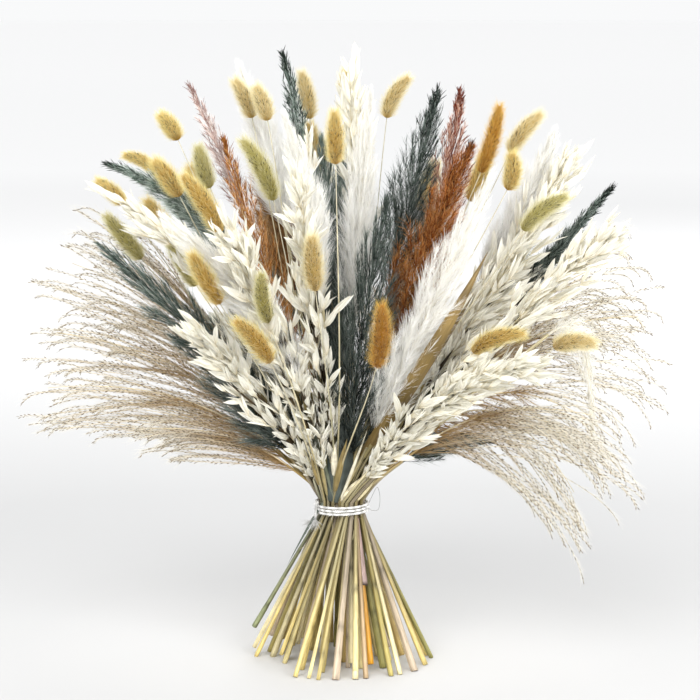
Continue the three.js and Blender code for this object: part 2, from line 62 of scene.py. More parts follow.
STRING_RADIUS = 0.9
STRING_TURNS = 3
STRING_PITCH = 2.3
STEPS_PER_TURN = 16
STRING_START = 200  # degrees round the waist
# The string's two ends at the left: degrees round the waist, millimetres out of the wound string, and
# the height.
FIRST_END = [(188, 4.5, -11), (191, 3, -8.5), (195, 1.2, -5.5)]
LAST_END = [(206, 1.8, 3), (209, 3, 0), (212, 3.8, -4), (214, 4.6, -8)]

# Half thickness of each kind of stem: at its cut foot, at the string and under its head.
STEMS = {"plume": (2.4, 1.5, 1.1), "oats": (1.9, 1.1, 0.7), "bunny": (1.5, 0.8, 0.3), "reed": (1.8, 1.2, 0.8)}

# One stem is cut out of line: how far its foot is thrown outwards and how high above the floor it ends.
ODD_CUTS = {"oats_2": (1.2, 16)}

CLUMP_OFFSET = 0.5  # from a clump's middle to each of its stems, at the string
FOOT_OFFSET = 1.8  # clumped stems stand this much further apart at the foot, before the splay
STANDING_SHARE = 0.6  # of the stems reach the floor
LONGEST_LIFT = 9  # the others end at most this far above it
THICKNESS_SPREAD = (0.85, 1.15)  # of the cut ends
LEAVING_PULL = 0.3  # how far a stem keeps its first direction, as a share of its way to its head
ARRIVING_PULL = 0.35  # and how far before the head it takes its last one

CAMERA_DISTANCE = 1900
CAMERA_RISE = math.radians(8)  # above the horizon
PHOTO_WIDTH = 504  # what the picture takes in at the bundle
PHOTO_CENTRE = (5.8, 0, 114)

# ---- where the heads are
# Each row is one head: its base (x, y, z), its tip (x, y, z) and its half width.

PLUMES = {
    "slate": [
        (-57, -16, 74, -171, -45, 196, 17),
        (-74, 10, 168, -169, 12, 247, 9),
        (-20, 50, 188, -44, 75, 325, 9),
        (-8, 26, 154, -15, 35, 266, 14),
        (33, 7, 149, 69, 15, 301, 17),
        (4, -8, 43, 33, -45, 231, 19),
        (126, 23, 148, 196, 35, 228, 10),
        (101, 62, 143, 142, 95, 225, 10),
        (44, 28, 27, 112, 60, 37, 12),
        (-30, 80, 110, -60, 170, 210, 13),
        (35, 75, 100, 80, 165, 200, 13),
        (0, 70, 140, 5, 130, 275, 12),
    ],
    "rust": [
        (45, -13, 141, 92, -25, 265, 20),
        (60, 30, 176, 86, 50, 298, 13),
        (-48, 5, 150, -85, 9, 265, 12),
        (-35, 60, 150, -70, 120, 250, 13),
    ],
    "rose": [(-74, 66, 210, -114, 92, 300, 8)],
    "ivory": [
        (-14, -19, 153, -41, -35, 287, 17),
        (7, 15, 127, 21, 8, 302, 16),
        (22, -18, 54, 105, -78, 251, 14),
        (-29, -34, 86, -124, -88, 220, 14),
        (101, 35, 153, 157, 60, 270, 12),
        (-42, 61, 195, -78, 100, 317, 12),
        (146, -35, 130, 178, -35, 54, 8),
        (50, 85, 140, 95, 150, 245, 13),
        (-55, 75, 105, -125, 135, 190, 13),
    ],
}

OATS = [
    (-36, -14, 80, -150, -40, 223, 16),
    (-30, -19, 44, -99, -60, 133, 17),
    (-24, -32, 68, -74, -95, 203, 22),
    (-12, -30, 82, -28, -85, 236, 16),
    (9, 38, 160, 7, 52, 298, 16),
    (63, -2, 92, 147, -5, 219, 22),
    (70, -19, 81, 186, -50, 202, 24),
    (38, -44, 56, 121, -110, 119, 22),
    (82, 20, 119, 162, 40, 244, 20),
    (-17, 3, 128, -24, 6, 258, 12),
    (-10, 60, 90, -15, 160, 240, 20),
    (60, 60, 70, 140, 140, 150, 22),
    (-35, 60, 45, -90, 160, 110, 20),
]

# Bunny tails grow in twos and threes whose stems run together at the string.
BUNNIES = [
    [(-66, 55, 278, -78, 60, 304, 8), (-54, 37, 277, -62, 40, 300, 8)],
    [(-120, 51, 262, -132, 55, 279, 8), (-138, 55, 238, -160, 60, 250, 6)],
    [(-115, -13, 226, -132, -15, 250, 9), (-94, 0, 231, -102, 0, 259, 8)],
    [(-156, 0, 219, -174, 0, 235, 7), (-143, -8, 181, -167, -10, 211, 8)],
    [(-48, -33, 225, -69, -40, 267, 9), (-85, -41, 203, -110, -50, 243, 9)],
    [
        (-50, -90, 146, -54, -110, 181, 7),
        (-49, -93, 119, -71, -120, 150, 9),
        (-84, -74, 157, -102, -90, 192, 9),
    ],
    [(24, -94, 116, 27, -130, 162, 9), (-18, -81, 167, -20, -100, 205, 9), (-4, -70, 253, -5, -78, 288, 8)],
    [(91, -83, 124, 124, -100, 139, 8), (148, -63, 124, 175, -70, 128, 8)],
    [(-24, 80, 276, -30, 86, 309, 8), (4, 88, 292, 4, 94, 310, 8), (33, 75, 277, 49, 80, 306, 8)],
    [(99, 0, 242, 112, 0, 289, 8), (122, 36, 254, 144, 40, 281, 8)],
    [(117, -18, 231, 120, -20, 256, 8), (128, -26, 203, 158, -30, 227, 8)],
    [(-20, 95, 235, -25, 110, 270, 9), (14, 104, 238, 18, 117, 272, 9)],
    [(60, 100, 205, 70, 118, 240, 9), (95, 80, 215, 108, 90, 250, 9)],
    [
        (-110, 95, 150, -130, 110, 180, 9),
        (-125, 70, 185, -145, 78, 215, 9),
        (-100, 95, 205, -115, 108, 238, 9),
    ],
]

REEDS = [
    [(-40, -10, 32, -150, -30, 60, 13), (-51, -3, 43, -233, -10, 85, 30), (-56, 6, 55, -228, 20, 126, 30)],
    [(-58, 14, 75, -217, 40, 179, 30), (-66, 4, 92, -192, 10, 218, 24), (-55, 40, 60, -190, 110, 130, 28)],
    [(92, -5, 93, 229, -10, 139, 30), (100, 8, 113, 222, 15, 185, 30), (85, 30, 80, 205, 80, 150, 28)],
    [(77, -14, 69, 212, -30, 39, 34), (71, 5, 58, 181, 10, -13, 34), (60, -25, 50, 190, -75, 75, 28)],
    [(-48, 30, 36, -170, 115, 55, 28), (-38, 45, 38, -110, 165, 70, 28)],
    [(35, 50, 45, 110, 165, 75, 28), (20, 55, 60, 30, 190, 140, 28)],
]

# ---- colours


def colour(hexadecimal):
    """The linear colour of a hexadecimal screen colour."""
    whole = np.array([int(hexadecimal[i : i + 2], 16) for i in (1, 3, 5)]) / 255
    return np.where(whole <= 0.04045, whole / 12.92, ((whole + 0.055) / 1.055) ** 2.4)


# A plume's hair at its root, half way and at its tip, and its branchlets.
PLUME_COLOURS = {
    "slate": ("#111a15", "#485950", "#bfcac1", "#19211c"),
    "rust": ("#260d01", "#8c460a", "#e4a968", "#3c1a06"),
    "copper": ("#6b3420", "#c08c72", "#f4e0d2", "#6e3020"),
    "tan": ("#95602a", "#cf9350", "#f0cd9c", "#925a28"),
    "rose": ("#c2a298", "#dfc8bf", "#f5ebe5", "#9a7c76"),
    "ivory": ("#faf7ee", "#fdfcf8", "#fefefd", "#f3eee0"),
}

# ---- small helpers


def unit(vectors):
    return vectors / np.linalg.norm(vectors, axis=-1, keepdims=True)


def draws_from(seed):
    """A function that draws numbers one by one, the same ones for the same seed."""
    whole = 2**32
    state = seed

    def draw(low, high):
        nonlocal state
        state = (state + 0x6D2B79F5) % whole
        mixed = (state ^ (state >> 15)) * (1 | state) % whole
        mixed = ((mixed + (mixed ^ (mixed >> 7)) * (61 | mixed)) ^ mixed) % whole
        return low + (high - low) * (mixed ^ (mixed >> 14)) / whole

    return draw


def bezier(controls, shares):
    """Points at the shares of a curve, or of each of many curves, with two or more control points."""
    shares = np.asarray(shares, float)[..., None]
    points = [np.asarray(control, float) for control in controls]
    while len(points) > 1:
        points = [a + (b - a) * shares for a, b in zip(points, points[1:])]
    return points[0]


def blend(first, second, share):
    return first + (second - first) * np.asarray(share)[..., None]


def three_tones(dark, middle, pale, depth):
    """Colours from dark, at a depth of nought, through the middle one to pale, at one."""
    lower = blend(dark, middle, depth * 2)
    upper = blend(middle, pale, depth * 2 - 1)
    return np.where((depth < 0.5)[..., None], lower, upper)


def turned(ahead, aside, angles):
    """Directions that are turned by angles from ahead to aside."""
    return ahead * np.cos(angles)[..., None] + aside * np.sin(angles)[..., None]


def spread(directions, angles, random):
    """Directions turned away from the given ones by angles, each to a side of its own."""
    aside = unit(np.cross(directions, random.normal(size=directions.shape)))
    return turned(directions, aside, angles)


def bent_strands(roots, directions, lengths, bend, stations):
    """Lines that leave their roots in their own directions and bend over by a vector per length."""
    shares = np.linspace(0, 1, stations)[:, None]
    straight = directions[:, None] * shares
    return roots[:, None] + lengths[:, None, None] * (straight + bend[:, None] * shares**2)


# ---- the stems' places at the string
# A slot is a point of the unit disc, as a complex number: the plan of the waist, and at the same time
# the fan of headings above it.


class Stem:
    def __init__(self, row):
        self.base = np.array(row[:3], float)
        self.tip = np.array(row[3:6], float)
        self.half = row[6]
        self.offset = 0j


class Clump:
    def __init__(self, name, kind, dye, rows):
        self.name = name
        self.kind = kind
        self.dye = dye
        self.stems = [Stem(row) for row in rows]
        several = CLUMP_OFFSET if len(rows) > 1 else 0
        self.room = CROWDING * (STEMS[kind][1] + several + GAP / 2) / WAIST_RADIUS


def slot_facing(direction):
    lean = math.acos(unit(direction)[2]) / WIDEST_LEAN
    heading = math.atan2(direction[1], direction[0]) - HEAD_TURN
    return cmath.rect(min(lean, 1), heading)


def head_direction(stem):
    return unit(stem.base) + unit(stem.tip)


def settle_slots(clumps):
    """Slots start where their heads point and are pushed apart until every stem has room."""
    settling_rounds = 400
    pulled_rounds = 300
    pull = 0.04
    for clump in clumps:
        clump.wish = slot_facing(sum(unit(head_direction(stem)) for stem in clump.stems))
        clump.slot = clump.wish
    area = sum(clump.room**2 for clump in clumps)
    for round_number in range(settling_rounds):
        if round_number < pulled_rounds:
            for clump in clumps:
                clump.slot += (clump.wish - clump.slot) * pull
        centre = sum(clump.slot * clump.room**2 for clump in clumps) / area
        for clump in clumps:
            clump.slot -= centre
        for i, one in enumerate(clumps):
            for other in clumps[i + 1 :]:
                apart = other.slot - one.slot
                short = one.room + other.room - abs(apart)
                if short > 0:
                    push = apart / abs(apart) * short / 2
                    one.slot -= push
                    other.slot += push
        for clump in clumps:
            clump.slot *= min(1, (1 - clump.room) / abs(clump.slot))


def all_clumps():
    clumps = [
        Clump(f"plume_{dye}_{i}", "plume", dye, [row])
        for dye, rows in PLUMES.items()
        for i, row in enumerate(rows, 1)
    ]
    clumps += [Clump(f"bunny_tails_{i}", "bunny", None, rows) for i, rows in enumerate(BUNNIES, 1)]
    clumps += [Clump(f"oats_{i}", "oats", None, [row]) for i, row in enumerate(OATS, 1)]
    clumps += [Clump(f"reed_{i}", "reed", None, rows) for i, rows in enumerate(REEDS, 1)]
    settle_slots(clumps)
    for clump in clumps:
        for stem in clump.stems:
            if len(clump.stems) > 1:
                aside = slot_facing(head_direction(stem)) - clump.wish
                stem.offset = aside / abs(aside) * CLUMP_OFFSET
    return clumps


def lay_stem(clump, stem, draw):
    """The corners of a stem: its cut foot, the string's zone and the curve up to its head."""
    throw, lift = ODD_CUTS.get(clump.name, (1, 0))
    waist = clump.slot * WAIST_RADIUS + stem.offset
    foot = (clump.slot * WAIST_RADIUS + FOOT_OFFSET * stem.offset) * throw * FOOT_RADIUS / WAIST_RADIUS
    foot *= cmath.rect(1, FOOT_TURN)
    low = np.array([waist.real, waist.imag, -WAIST_ZONE])
    high = np.array([waist.real, waist.imag, WAIST_ZONE])
    cut = np.array([foot.real, foot.imag, -TIE_HEIGHT])
    stands = draw(0, 1) < STANDING_SHARE
    lift = lift or (0 if stands else draw(0, LONGEST_LIFT))
    stem.cut = cut + (low - cut) * lift / (TIE_HEIGHT - WAIST_ZONE)
    stem.low = low
    stem.high = high
    stem.thick = draw(*THICKNESS_SPREAD)
    heading = cmath.phase(waist) + LEAVING_TURN
    lean = abs(waist) / WAIST_RADIUS * LEAVING_LEAN
    outwards = np.array([math.cos(heading), math.sin(heading), 0])
    leaving = math.cos(lean) * np.array([0, 0, 1]) + math.sin(lean) * outwards
    radial = unit(stem.base)
    length = np.linalg.norm(high - stem.base)
    start = high + LEAVING_PULL * length * leaving
    arrival = stem.base - ARRIVING_PULL * length * radial
    stem.rise = [high, start, arrival, stem.base]
    stem.reach = np.linalg.norm(stem.base - stem.tip)
    stem.head = [stem.base, stem.base + stem.reach / 2 * radial, stem.tip]


class Axis:
    """The way from the string to the tip of a head, with a frame at any share of it: shares run from -1
    at the string through 0 at the head's base to 1 at its tip."""

    def __init__(self, stem):
        steps = np.linspace(0, 1, 50)
        self.shares = np.concatenate([steps - 1, steps[1:]])
        self.points = np.concatenate([bezier(stem.rise, steps), bezier(stem.head, steps)[1:]])
        self.aheads = unit(np.gradient(self.points, axis=0))
        self.beside = unit(np.cross(stem.tip - stem.base, [0.3, 1, 0.2]))

    def along(self, table, shares):
        return np.stack([np.interp(shares, self.shares, column) for column in table.T], axis=-1)

    def at(self, shares):
        return self.along(self.points, shares)

    def ahead(self, shares):
        return unit(self.along(self.aheads, shares))

    def out(self, shares, angles):
        """Directions square to the axis, at angles round it."""
        ahead = self.ahead(shares)
        across = unit(self.beside - (ahead @ self.beside)[..., None] * ahead)
        return turned(across, np.cross(ahead, across), angles)


# ---- meshes in the making

STREAK = 0.06  # how slowly the grain changes along a strand, beside across it
BLADE_STEPS = np.array([-1, -0.55, 0, 0.55, 1])  # across a blade, as shares of its half width
CELL_MARGIN = 0.08  # round each strand in its cell of the bake's map
ORIGIN_NODE = "plume_slate_3"  # its tip is its highest point
ORIGIN_TIP = PLUMES["slate"][2][3:6]


def ring_angles(sides):
    return 2 * math.pi * np.arange(sides) / sides


def grid_faces(stations, across, closed=False):
    """Four-cornered faces of a grid of points, joined up all round if it is closed."""
    index = np.arange(stations * across).reshape(stations, across)
    beside = np.roll(index, -1, axis=1)
    if not closed:
        index, beside = index[:, :-1], beside[:, :-1]
    return np.stack([index[:-1], beside[:-1], beside[1:], index[1:]], axis=-1).reshape(-1, 4)


def end_faces(ring):
    """Four-cornered faces that close a ring with an even number of points."""
    return [[ring[0], ring[k], ring[k + 1], ring[k + 2]] for k in range(1, len(ring) - 2, 2)]


def grid_places(stations, across):
    """Each grid point's place in its own cell of the bake's map."""
    along, beside = np.meshgrid(np.linspace(0, 1, stations), np.linspace(0, 1, across), indexing="ij")
    return np.stack([beside, along], axis=-1).reshape(-1, 2)


def per_station(values, lines):
    """Numbers for each station of each strand, one for all or their own, that scale grids of points."""
    return np.broadcast_to(values, lines.shape[:2])[..., None, None]


class Parts:
    """A piece's mesh in the making. It is added to in sheaves of alike strands. Each point has a tint
    and a place in its strand's own grain, and each strand a cell of the map that a bake paints on."""

    def __init__(self, seed):
        self.random = np.random.default_rng(seed)
        self.sheaves = []

    def add(self, points, faces, tints, grains, material):
        """points, tints and grains are (strands, stations, across, 3), and faces are one strand's."""
        tints = np.clip(np.broadcast_to(tints, points.shape), 0, 1)
        self.sheaves.append((points, np.asarray(faces), tints, grains, material))

    def clothe(self, lines, points, faces, tints, material):
        """Strands round lines (strands, stations, 3), with tints of their stations or of their points."""
        if np.ndim(tints) < 4:
            tints = np.broadcast_to(tints, lines.shape)[:, :, None]
        self.add(points, faces, tints, self.grain(lines, points), material)

    def ribbons(self, lines, widths, tints, material):
        """Flat strands, each turned its own way about its line."""
        ahead = lines[:, -1] - lines[:, 0]
        aside = unit(np.cross(ahead, self.random.normal(size=ahead.shape)))
        half = aside[:, None, None] * per_station(widths, lines) / 2
        points = lines[:, :, None] + half * np.array([-1, 1])[:, None]
        self.clothe(lines, points, grid_faces(lines.shape[1], 2), tints, material)

    def hairs(self, roots, directions, lengths, bend, widths, tints, material):
        """Ribbons that leave their roots in their own directions and bend over."""
        lines = bent_strands(roots, directions, lengths, bend, widths.shape[-1])
        self.ribbons(lines, widths, tints, material)

    def tubes(self, lines, radii, sides, tints, material):
        """Round strands, closed at both ends."""
        stations = lines.shape[1]
        ahead = unit(np.gradient(lines, axis=1))
        least = np.abs(ahead).sum(axis=1).argmin(axis=-1)
        across = unit(np.cross(ahead, np.eye(3)[least][:, None]))
        spokes = turned(across[:, :, None], np.cross(ahead, across)[:, :, None], ring_angles(sides))
        points = lines[:, :, None] + spokes * per_station(radii, lines)
        ring = np.arange(sides)
        faces = grid_faces(stations, sides, closed=True).tolist()
        faces += end_faces(ring[::-1]) + end_faces(ring + (stations - 1) * sides)
        self.clothe(lines, points, faces, tints, material)

    def blades(self, lines, widths, across, fold, tints, material):
        """Leaf-like strands with a raised or sunk middle line: across (strands, 3) points to one edge,
        and fold is the middle line's depth as a share of the half width."""
        ahead = unit(np.gradient(lines, axis=1))
        over = unit(np.cross(ahead, across[:, None]))
        aside = np.cross(over, ahead)[:, :, None] * BLADE_STEPS[:, None]
        sunk = over[:, :, None] * (fold * (BLADE_STEPS**2 - 1))[:, None]
        points = lines[:, :, None] + per_station(widths, lines) / 2 * (aside + sunk)
        self.clothe(lines, points, grid_faces(lines.shape[1], len(BLADE_STEPS)), tints, material)

    def grain(self, lines, points):
        """Places whose noise runs in long streaks along each strand, and differs from strand to strand."""
        steps = np.linalg.norm(np.diff(lines, axis=1), axis=-1)
        along = np.pad(steps.cumsum(axis=1), [(0, 0), (1, 0)]) * STREAK
        ahead = unit(lines[:, -1] - lines[:, 0])[:, None, None]
        beside = points - lines[:, :, None]
        beside = beside - (beside * ahead).sum(axis=-1, keepdims=True) * ahead
        own = self.random.uniform(-90, 90, (len(lines), 1, 1, 3))
        return beside + along[:, :, None, None] * ahead + own


def string_middle():
    """Where the middle of the string is in the frame, from a head whose place in it is known."""
    corners = [vertex.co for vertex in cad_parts[ORIGIN_NODE].data.vertices]
    top = max(corners, key=lambda corner: corner.z)
    return np.array([top.x / MM - ORIGIN_TIP[0], top.y / MM - ORIGIN_TIP[1], TIE_HEIGHT])


ORIGIN = string_middle()


def add_object(name, data):
    thing = bpy.data.objects.new(name, data)
    bpy.context.scene.collection.objects.link(thing)
    return thing


def make_piece(name, parts, materials, node, slot):
    """The object of a finished mesh, which rides on the bundle and stands for a node."""
    rows = []
    count = strands = 0
    for points, faces, tints, grains, material in parts.sheaves:
        number, stations, across = points.shape[:3]
        each = stations * across
        starts = count + each * np.arange(number)
        rows.append((
            points.reshape(-1, 3),
            (faces + starts[:, None, None]).reshape(-1, 4),
            tints.reshape(-1, 3),
            grains.reshape(-1, 3),
            (strands + np.arange(number)).repeat(each),
            np.tile(grid_places(stations, across), (number, 1)),
            np.full(number * len(faces), materials.index(material)),
        ))
        count += number * each
        strands += number
    points, faces, tints, grains, cells, places, slots = map(np.concatenate, zip(*rows))
    points[:, 2] = np.maximum(points[:, 2], -TIE_HEIGHT)

    mesh = bpy.data.meshes.new(name)
    mesh.vertices.add(count)
    mesh.vertices.foreach_set("co", ((points + ORIGIN) * MM).ravel())
    mesh.loops.add(faces.size)
    mesh.loops.foreach_set("vertex_index", faces.ravel())
    mesh.polygons.add(len(faces))
    mesh.polygons.foreach_set("loop_start", np.arange(0, faces.size, 4))
    mesh.polygons.foreach_set("material_index", slots)
    mesh.polygons.foreach_set("use_smooth", np.ones(len(faces), bool))
    mesh.update(calc_edges=True)

    opaque = np.concatenate([tints, np.ones((count, 1))], axis=1)
    mesh.color_attributes.new("tint", "FLOAT_COLOR", "POINT").data.foreach_set("color", opaque.ravel())
    mesh.attributes.new("grain", "FLOAT_VECTOR", "POINT").data.foreach_set("vector", grains.ravel())
    side = math.ceil(math.sqrt(strands))
    corner = np.stack([cells % side, cells // side], axis=-1)
    spots = (corner + CELL_MARGIN + (1 - 2 * CELL_MARGIN) * places) / side
    mesh.uv_layers.new(name="OFBake").data.foreach_set("uv", spots[faces.ravel()].ravel())

    for material in materials:
        mesh.materials.append(material)
    piece = add_object(name, mesh)
    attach(piece, "root")
    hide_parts(node)


# ---- materials


def fill(node, inputs):
    """Gives a node's sockets their values, or links them to the other nodes' sockets given as values."""
    for name, value in inputs.items():
        if isinstance(value, bpy.types.NodeSocket):
            node.id_data.links.new(value, node.inputs[name])
        else:
            node.inputs[name].default_value = value


def add_node(material, kind, inputs=None):
    node = material.node_tree.nodes.new(f"ShaderNode{kind}")
    fill(node, inputs or {})
    return node


def add_material(name):
    material = bpy.data.materials.new(name)
    material.use_nodes = True
    return material, material.node_tree.nodes["Principled BSDF"]


def fibre(name, roughness, scale, contrast, sheen=0.0, through=0.0, bump=0.0, gloss=0.35):
    """Dried plant fibre: the strands' own tints, streaked along the grain. Light passes through the
    share of it that through names."""
    material, skin = add_material(name)
    fill(skin, {"Roughness": roughness, "Specular IOR Level": gloss})
    fill(skin, {"Sheen Weight": sheen, "Sheen Roughness": 0.5})
    tint = add_node(material, "VertexColor")
    tint.layer_name = "tint"
    grain = add_node(material, "Attribute")
    grain.attribute_name = "grain"
    streaks = add_node(material, "TexNoise", {"Vector": grain.outputs["Vector"], "Scale": scale, "Detail": 3})
    shade = add_node(material, "MapRange", {"Value": streaks.outputs["Fac"]})
    fill(shade, {"From Min": 0.3, "From Max": 0.7, "To Min": 1 - contrast, "To Max": 1 + contrast})
    mixed = add_node(material, "Mix")
    mixed.data_type = "RGBA"
    mixed.blend_type = "MULTIPLY"
    fill(mixed, {"Factor": 1, "A": tint.outputs["Color"], "B": shade.outputs["Result"]})
    fill(skin, {"Base Color": mixed.outputs["Result"]})
    if bump:
        relief = add_node(material, "Bump", {"Strength": bump, "Distance": 0.2 * MM})
        fill(relief, {"Height": streaks.outputs["Fac"]})
        fill(skin, {"Normal": relief.outputs["Normal"]})
    if through:
        back = add_node(material, "BsdfTranslucent", {"Color": mixed.outputs["Result"]})
        both = add_node(material, "MixShader", {"Fac": through})
        fill(both, {1: skin.outputs["BSDF"], 2: back.outputs["BSDF"]})
        fill(material.node_tree.nodes["Material Output"], {"Surface": both.outputs["Shader"]})
    return material


STRAW = fibre("straw_stem", roughness=0.42, scale=1.6, contrast=0.3, bump=0.4)
HAIR = fibre("dyed_plume_hair", roughness=0.7, scale=0.5, contrast=0.18, sheen=0.04, gloss=0.12)
WHITE_HAIR = fibre("bleached_plume_hair", roughness=0.6, scale=0.5, contrast=0.06, through=0.4)
AWN = fibre("bunny_tail_awn", roughness=0.65, scale=0.6, contrast=0.12, sheen=0.2, through=0.18)
HUSK = fibre("bleached_oat_husk", roughness=0.5, scale=1.1, contrast=0.12, through=0.32, bump=0.3)
REED = fibre("silver_reed_spikelet", roughness=0.55, scale=0.8, contrast=0.2)
COTTON = fibre("white_cotton", roughness=0.6, scale=2.2, contrast=0.08, sheen=0.3)

# ---- stems

STEM_COLOURS = ["#d6c890", "#c9b777", "#a89b5c", "#c0ae96", "#ddd0a2", "#b59c60", "#8f8a50", "#cfba76"]
NECK_COLOURS = {"plume": "#c9bd97", "bunny": "#cfc8ae", "oats": "#e6ddc2", "reed": "#b0935c"}
# Group and place in it of the stems with a colour of their own.
ODD_STEM_COLOURS = {("oats_2", 0): "#868d68", ("plume_slate_7", 0): "#d0942c", ("reed_4", 1): "#b39a78"}
FOOT_STATIONS = 26
RISE_STATIONS = 20
STEM_SIDES = 10
# How far a stem's colour has turned into its neck's below the string, and from where on above it.
FOOT_TURNED = 0.25
RISE_TURNED = 0.3
# Painted shade: how light a stem is on its way up to the string, lighter at the foot and darker where the
# stems crowd at the string, and by how far it has turned above it.
FOOT_PAINTED_SHADE = ([0, 0.35, 0.6, 1], [1.2, 1, 0.66, 0.42])
RISE_PAINTED_SHADE = ([RISE_TURNED, 0.7], [0.42, 0.95])
TORN_SHARE = 0.5  # of the stems keep a torn sheath at the foot
SHEATHED_STEM = "plume_slate_7"  # still wrapped in its sheath from the string half way to the floor
SHEATH_SPAN = (0.52, 0.97)  # of the stem's way up from its foot to the string
SHEATH_RADII = (3.8, 2.3)
SHEATH_COLOUR = "#b39b94"


def stem_line(stem):
    foot = blend(stem.cut, stem.low, np.linspace(0, 1, FOOT_STATIONS))
    return np.concatenate([foot, bezier(stem.rise, np.linspace(0, 1, RISE_STATIONS))])


def add_stem(parts, clump, stem, place):
    """A stem from its cut foot to its neck: streaked straw with a joint and often a torn sheath."""
    random = parts.random
    foot, waist, neck = STEMS[clump.kind]
    foot *= stem.thick
    line = stem_line(stem)
    up = np.linspace(0, 1, FOOT_STATIONS)
    radii = np.concatenate([foot + (waist - foot) * up, np.linspace(waist, neck, RISE_STATIONS)])
    base = colour(ODD_STEM_COLOURS.get((clump.name, place)) or random.choice(STEM_COLOURS))
    turned = np.linspace(RISE_TURNED, 1, RISE_STATIONS)
    tints = blend(base, colour(NECK_COLOURS[clump.kind]), np.concatenate([FOOT_TURNED * up, turned]))
    # Painted shade: the stems are darker towards the string, where they crowd, and lighter at the foot.
    tints[:FOOT_STATIONS] *= np.interp(up, *FOOT_PAINTED_SHADE)[:, None]
    tints[FOOT_STATIONS:] *= np.interp(turned, *RISE_PAINTED_SHADE)[:, None]
    torn = random.integers(4, FOOT_STATIONS - 8)
    if random.random() < TORN_SHARE:
        radii[:torn] *= 1.13
        tints[:torn] *= random.uniform(0.8, 1.1)
        tints[torn] *= 0.55
    joint = random.integers(2, FOOT_STATIONS - 4)
    radii[joint] *= 1.08
    tints[joint] *= 0.85
    sides = random.uniform(0.7, 1.15, (1, 1, STEM_SIDES, 1))
    tints = tints[None, :, None] * sides * random.uniform(0.95, 1.05, (1, len(line), STEM_SIDES, 1))
    parts.tubes(line[None], radii, STEM_SIDES, tints, STRAW)
    add_cut_end(parts, stem, radii[0], base)
    add_fibres(parts, line[:FOOT_STATIONS], base)
    if clump.name == SHEATHED_STEM:
        add_sheath(parts, stem)


def add_sheath(parts, stem):
    """A dry sheath round a stem, cut off square, with painted shade inside its cut rim."""
    random = parts.random
    stations = 16
    sides = 14
    line = blend(stem.cut, stem.low, np.linspace(*SHEATH_SPAN, stations))
    tints = colour(SHEATH_COLOUR) * random.uniform(0.8, 1.1, (1, stations, sides, 1))
    tints = tints * random.uniform(0.8, 1.1, (1, 1, sides, 1))
    # Painted shade inside the sheath's cut rim.
    tints[:, 0] *= 0.12
    parts.tubes(line[None], np.linspace(*SHEATH_RADII, stations), sides, tints, STRAW)


def add_fibres(parts, line, base):
    """Loose fibres that have come off a stem below the string."""
    random = parts.random
    count = random.integers(2, 7)
    spots = random.integers(FOOT_STATIONS // 2, FOOT_STATIONS, count)
    down = unit(line[0] - line[-1])
    directions = spread(np.tile(down, (count, 1)), random.uniform(0.1, 0.5, count), random)
    roots = line[spots] + random.normal(0, 0.7, (count, 3))
    lengths = random.uniform(5, 14, count)
    bend = random.normal(0, 0.2, (count, 3))
    parts.hairs(roots, directions, lengths, bend, np.full(7, 0.22), base * 0.7, STRAW)


def add_cut_end(parts, stem, radius, base):
    """The pale rim and dark pith that a cut leaves."""
    ahead = unit(stem.low - stem.cut)
    heights = np.array([-0.1, -0.1, 0.24])
    widths = np.array([1.0, 0.62, 0.45]) * radius
    across = unit(np.cross(ahead, [0, 1, 0]))
    spokes = turned(across, np.cross(ahead, across), ring_angles(STEM_SIDES))
    line = stem.cut + heights[:, None] * np.array([0, 0, 1])
    points = (line[:, None] + spokes * widths[:, None, None])[None]
    points[..., 2] = np.maximum(points[..., 2], -TIE_HEIGHT)
    tints = np.stack([base * 1.1, base * 0.8, base * 0.15])[:, None]
    faces = grid_faces(3, STEM_SIDES, closed=True).tolist()
    faces += end_faces(np.arange(STEM_SIDES) + 2 * STEM_SIDES)
    parts.add(points, faces, tints, points * 0.5, STRAW)


# ---- dry leaves

LEAF_TONES = ["#cfc39c", "#a99b6c", "#7d7848", "#5c5234", "#ddd6bf", "#857448", "#4b4632"]
LEAFY_SHARE = 0.6  # of the stems have a leaf left above the string
# Leaves with a place of their own: the group, the place in it of the stem, where on the stem's way up
# the leaf starts, its tip, its width, how far it bows to the viewer and its colour.
CHOSEN_LEAVES = [
    ("plume_slate_6", 0, 0, (0, -18, 66), 22, 0, "#525a55"),
    ("plume_ivory_3", 0, 0.02, (22, -24, 30), 6.5, 0, "#ddd2b4"),
    ("bunny_tails_10", 0, 0.15, (102, -48, 190), 11, 46, "#7c673c"),
    ("bunny_tails_10", 1, 0.2, (93, -40, 160), 6, 40, "#5e4d2a"),
    ("oats_6", 0, 0.2, (62, -12, 96), 8, 0, "#7c6c40"),
    ("bunny_tails_7", 0, 0.03, (-22, -24, 66), 3, 0, "#6f7462"),
    ("oats_4", 0, 0.02, (-17, -20, 58), 6, 0, "#8c8654"),
]
TO_VIEWER = np.array([0.1, -1, 0.1])  # the side that those leaves' backs are turned to
# One leaf hangs below the string: its group, tip, width and colour.
LOW_LEAF = ("bunny_tails_6", (-40, -15, -42), 1.7, "#535c54")


def add_leaf(parts, root, control, tip, width, tint, away, mottling=0.15):
    """A long pointed leaf whose back is turned to the side that away names."""
    stations = 16
    shares = np.linspace(0, 1, stations)
    line = bezier([root, control, tip], shares)[None]
    across = unit(np.cross(tip - root, away))[None]
    profile = (0.55 + 0.45 * np.sin(math.pi * shares**0.8)) * (1 - shares**4) + 0.02
    tints = tint * parts.random.uniform(1 - mottling, 1 + mottling, (1, stations, 1))
    parts.blades(line, width * profile, across, 0.7, tints, STRAW)


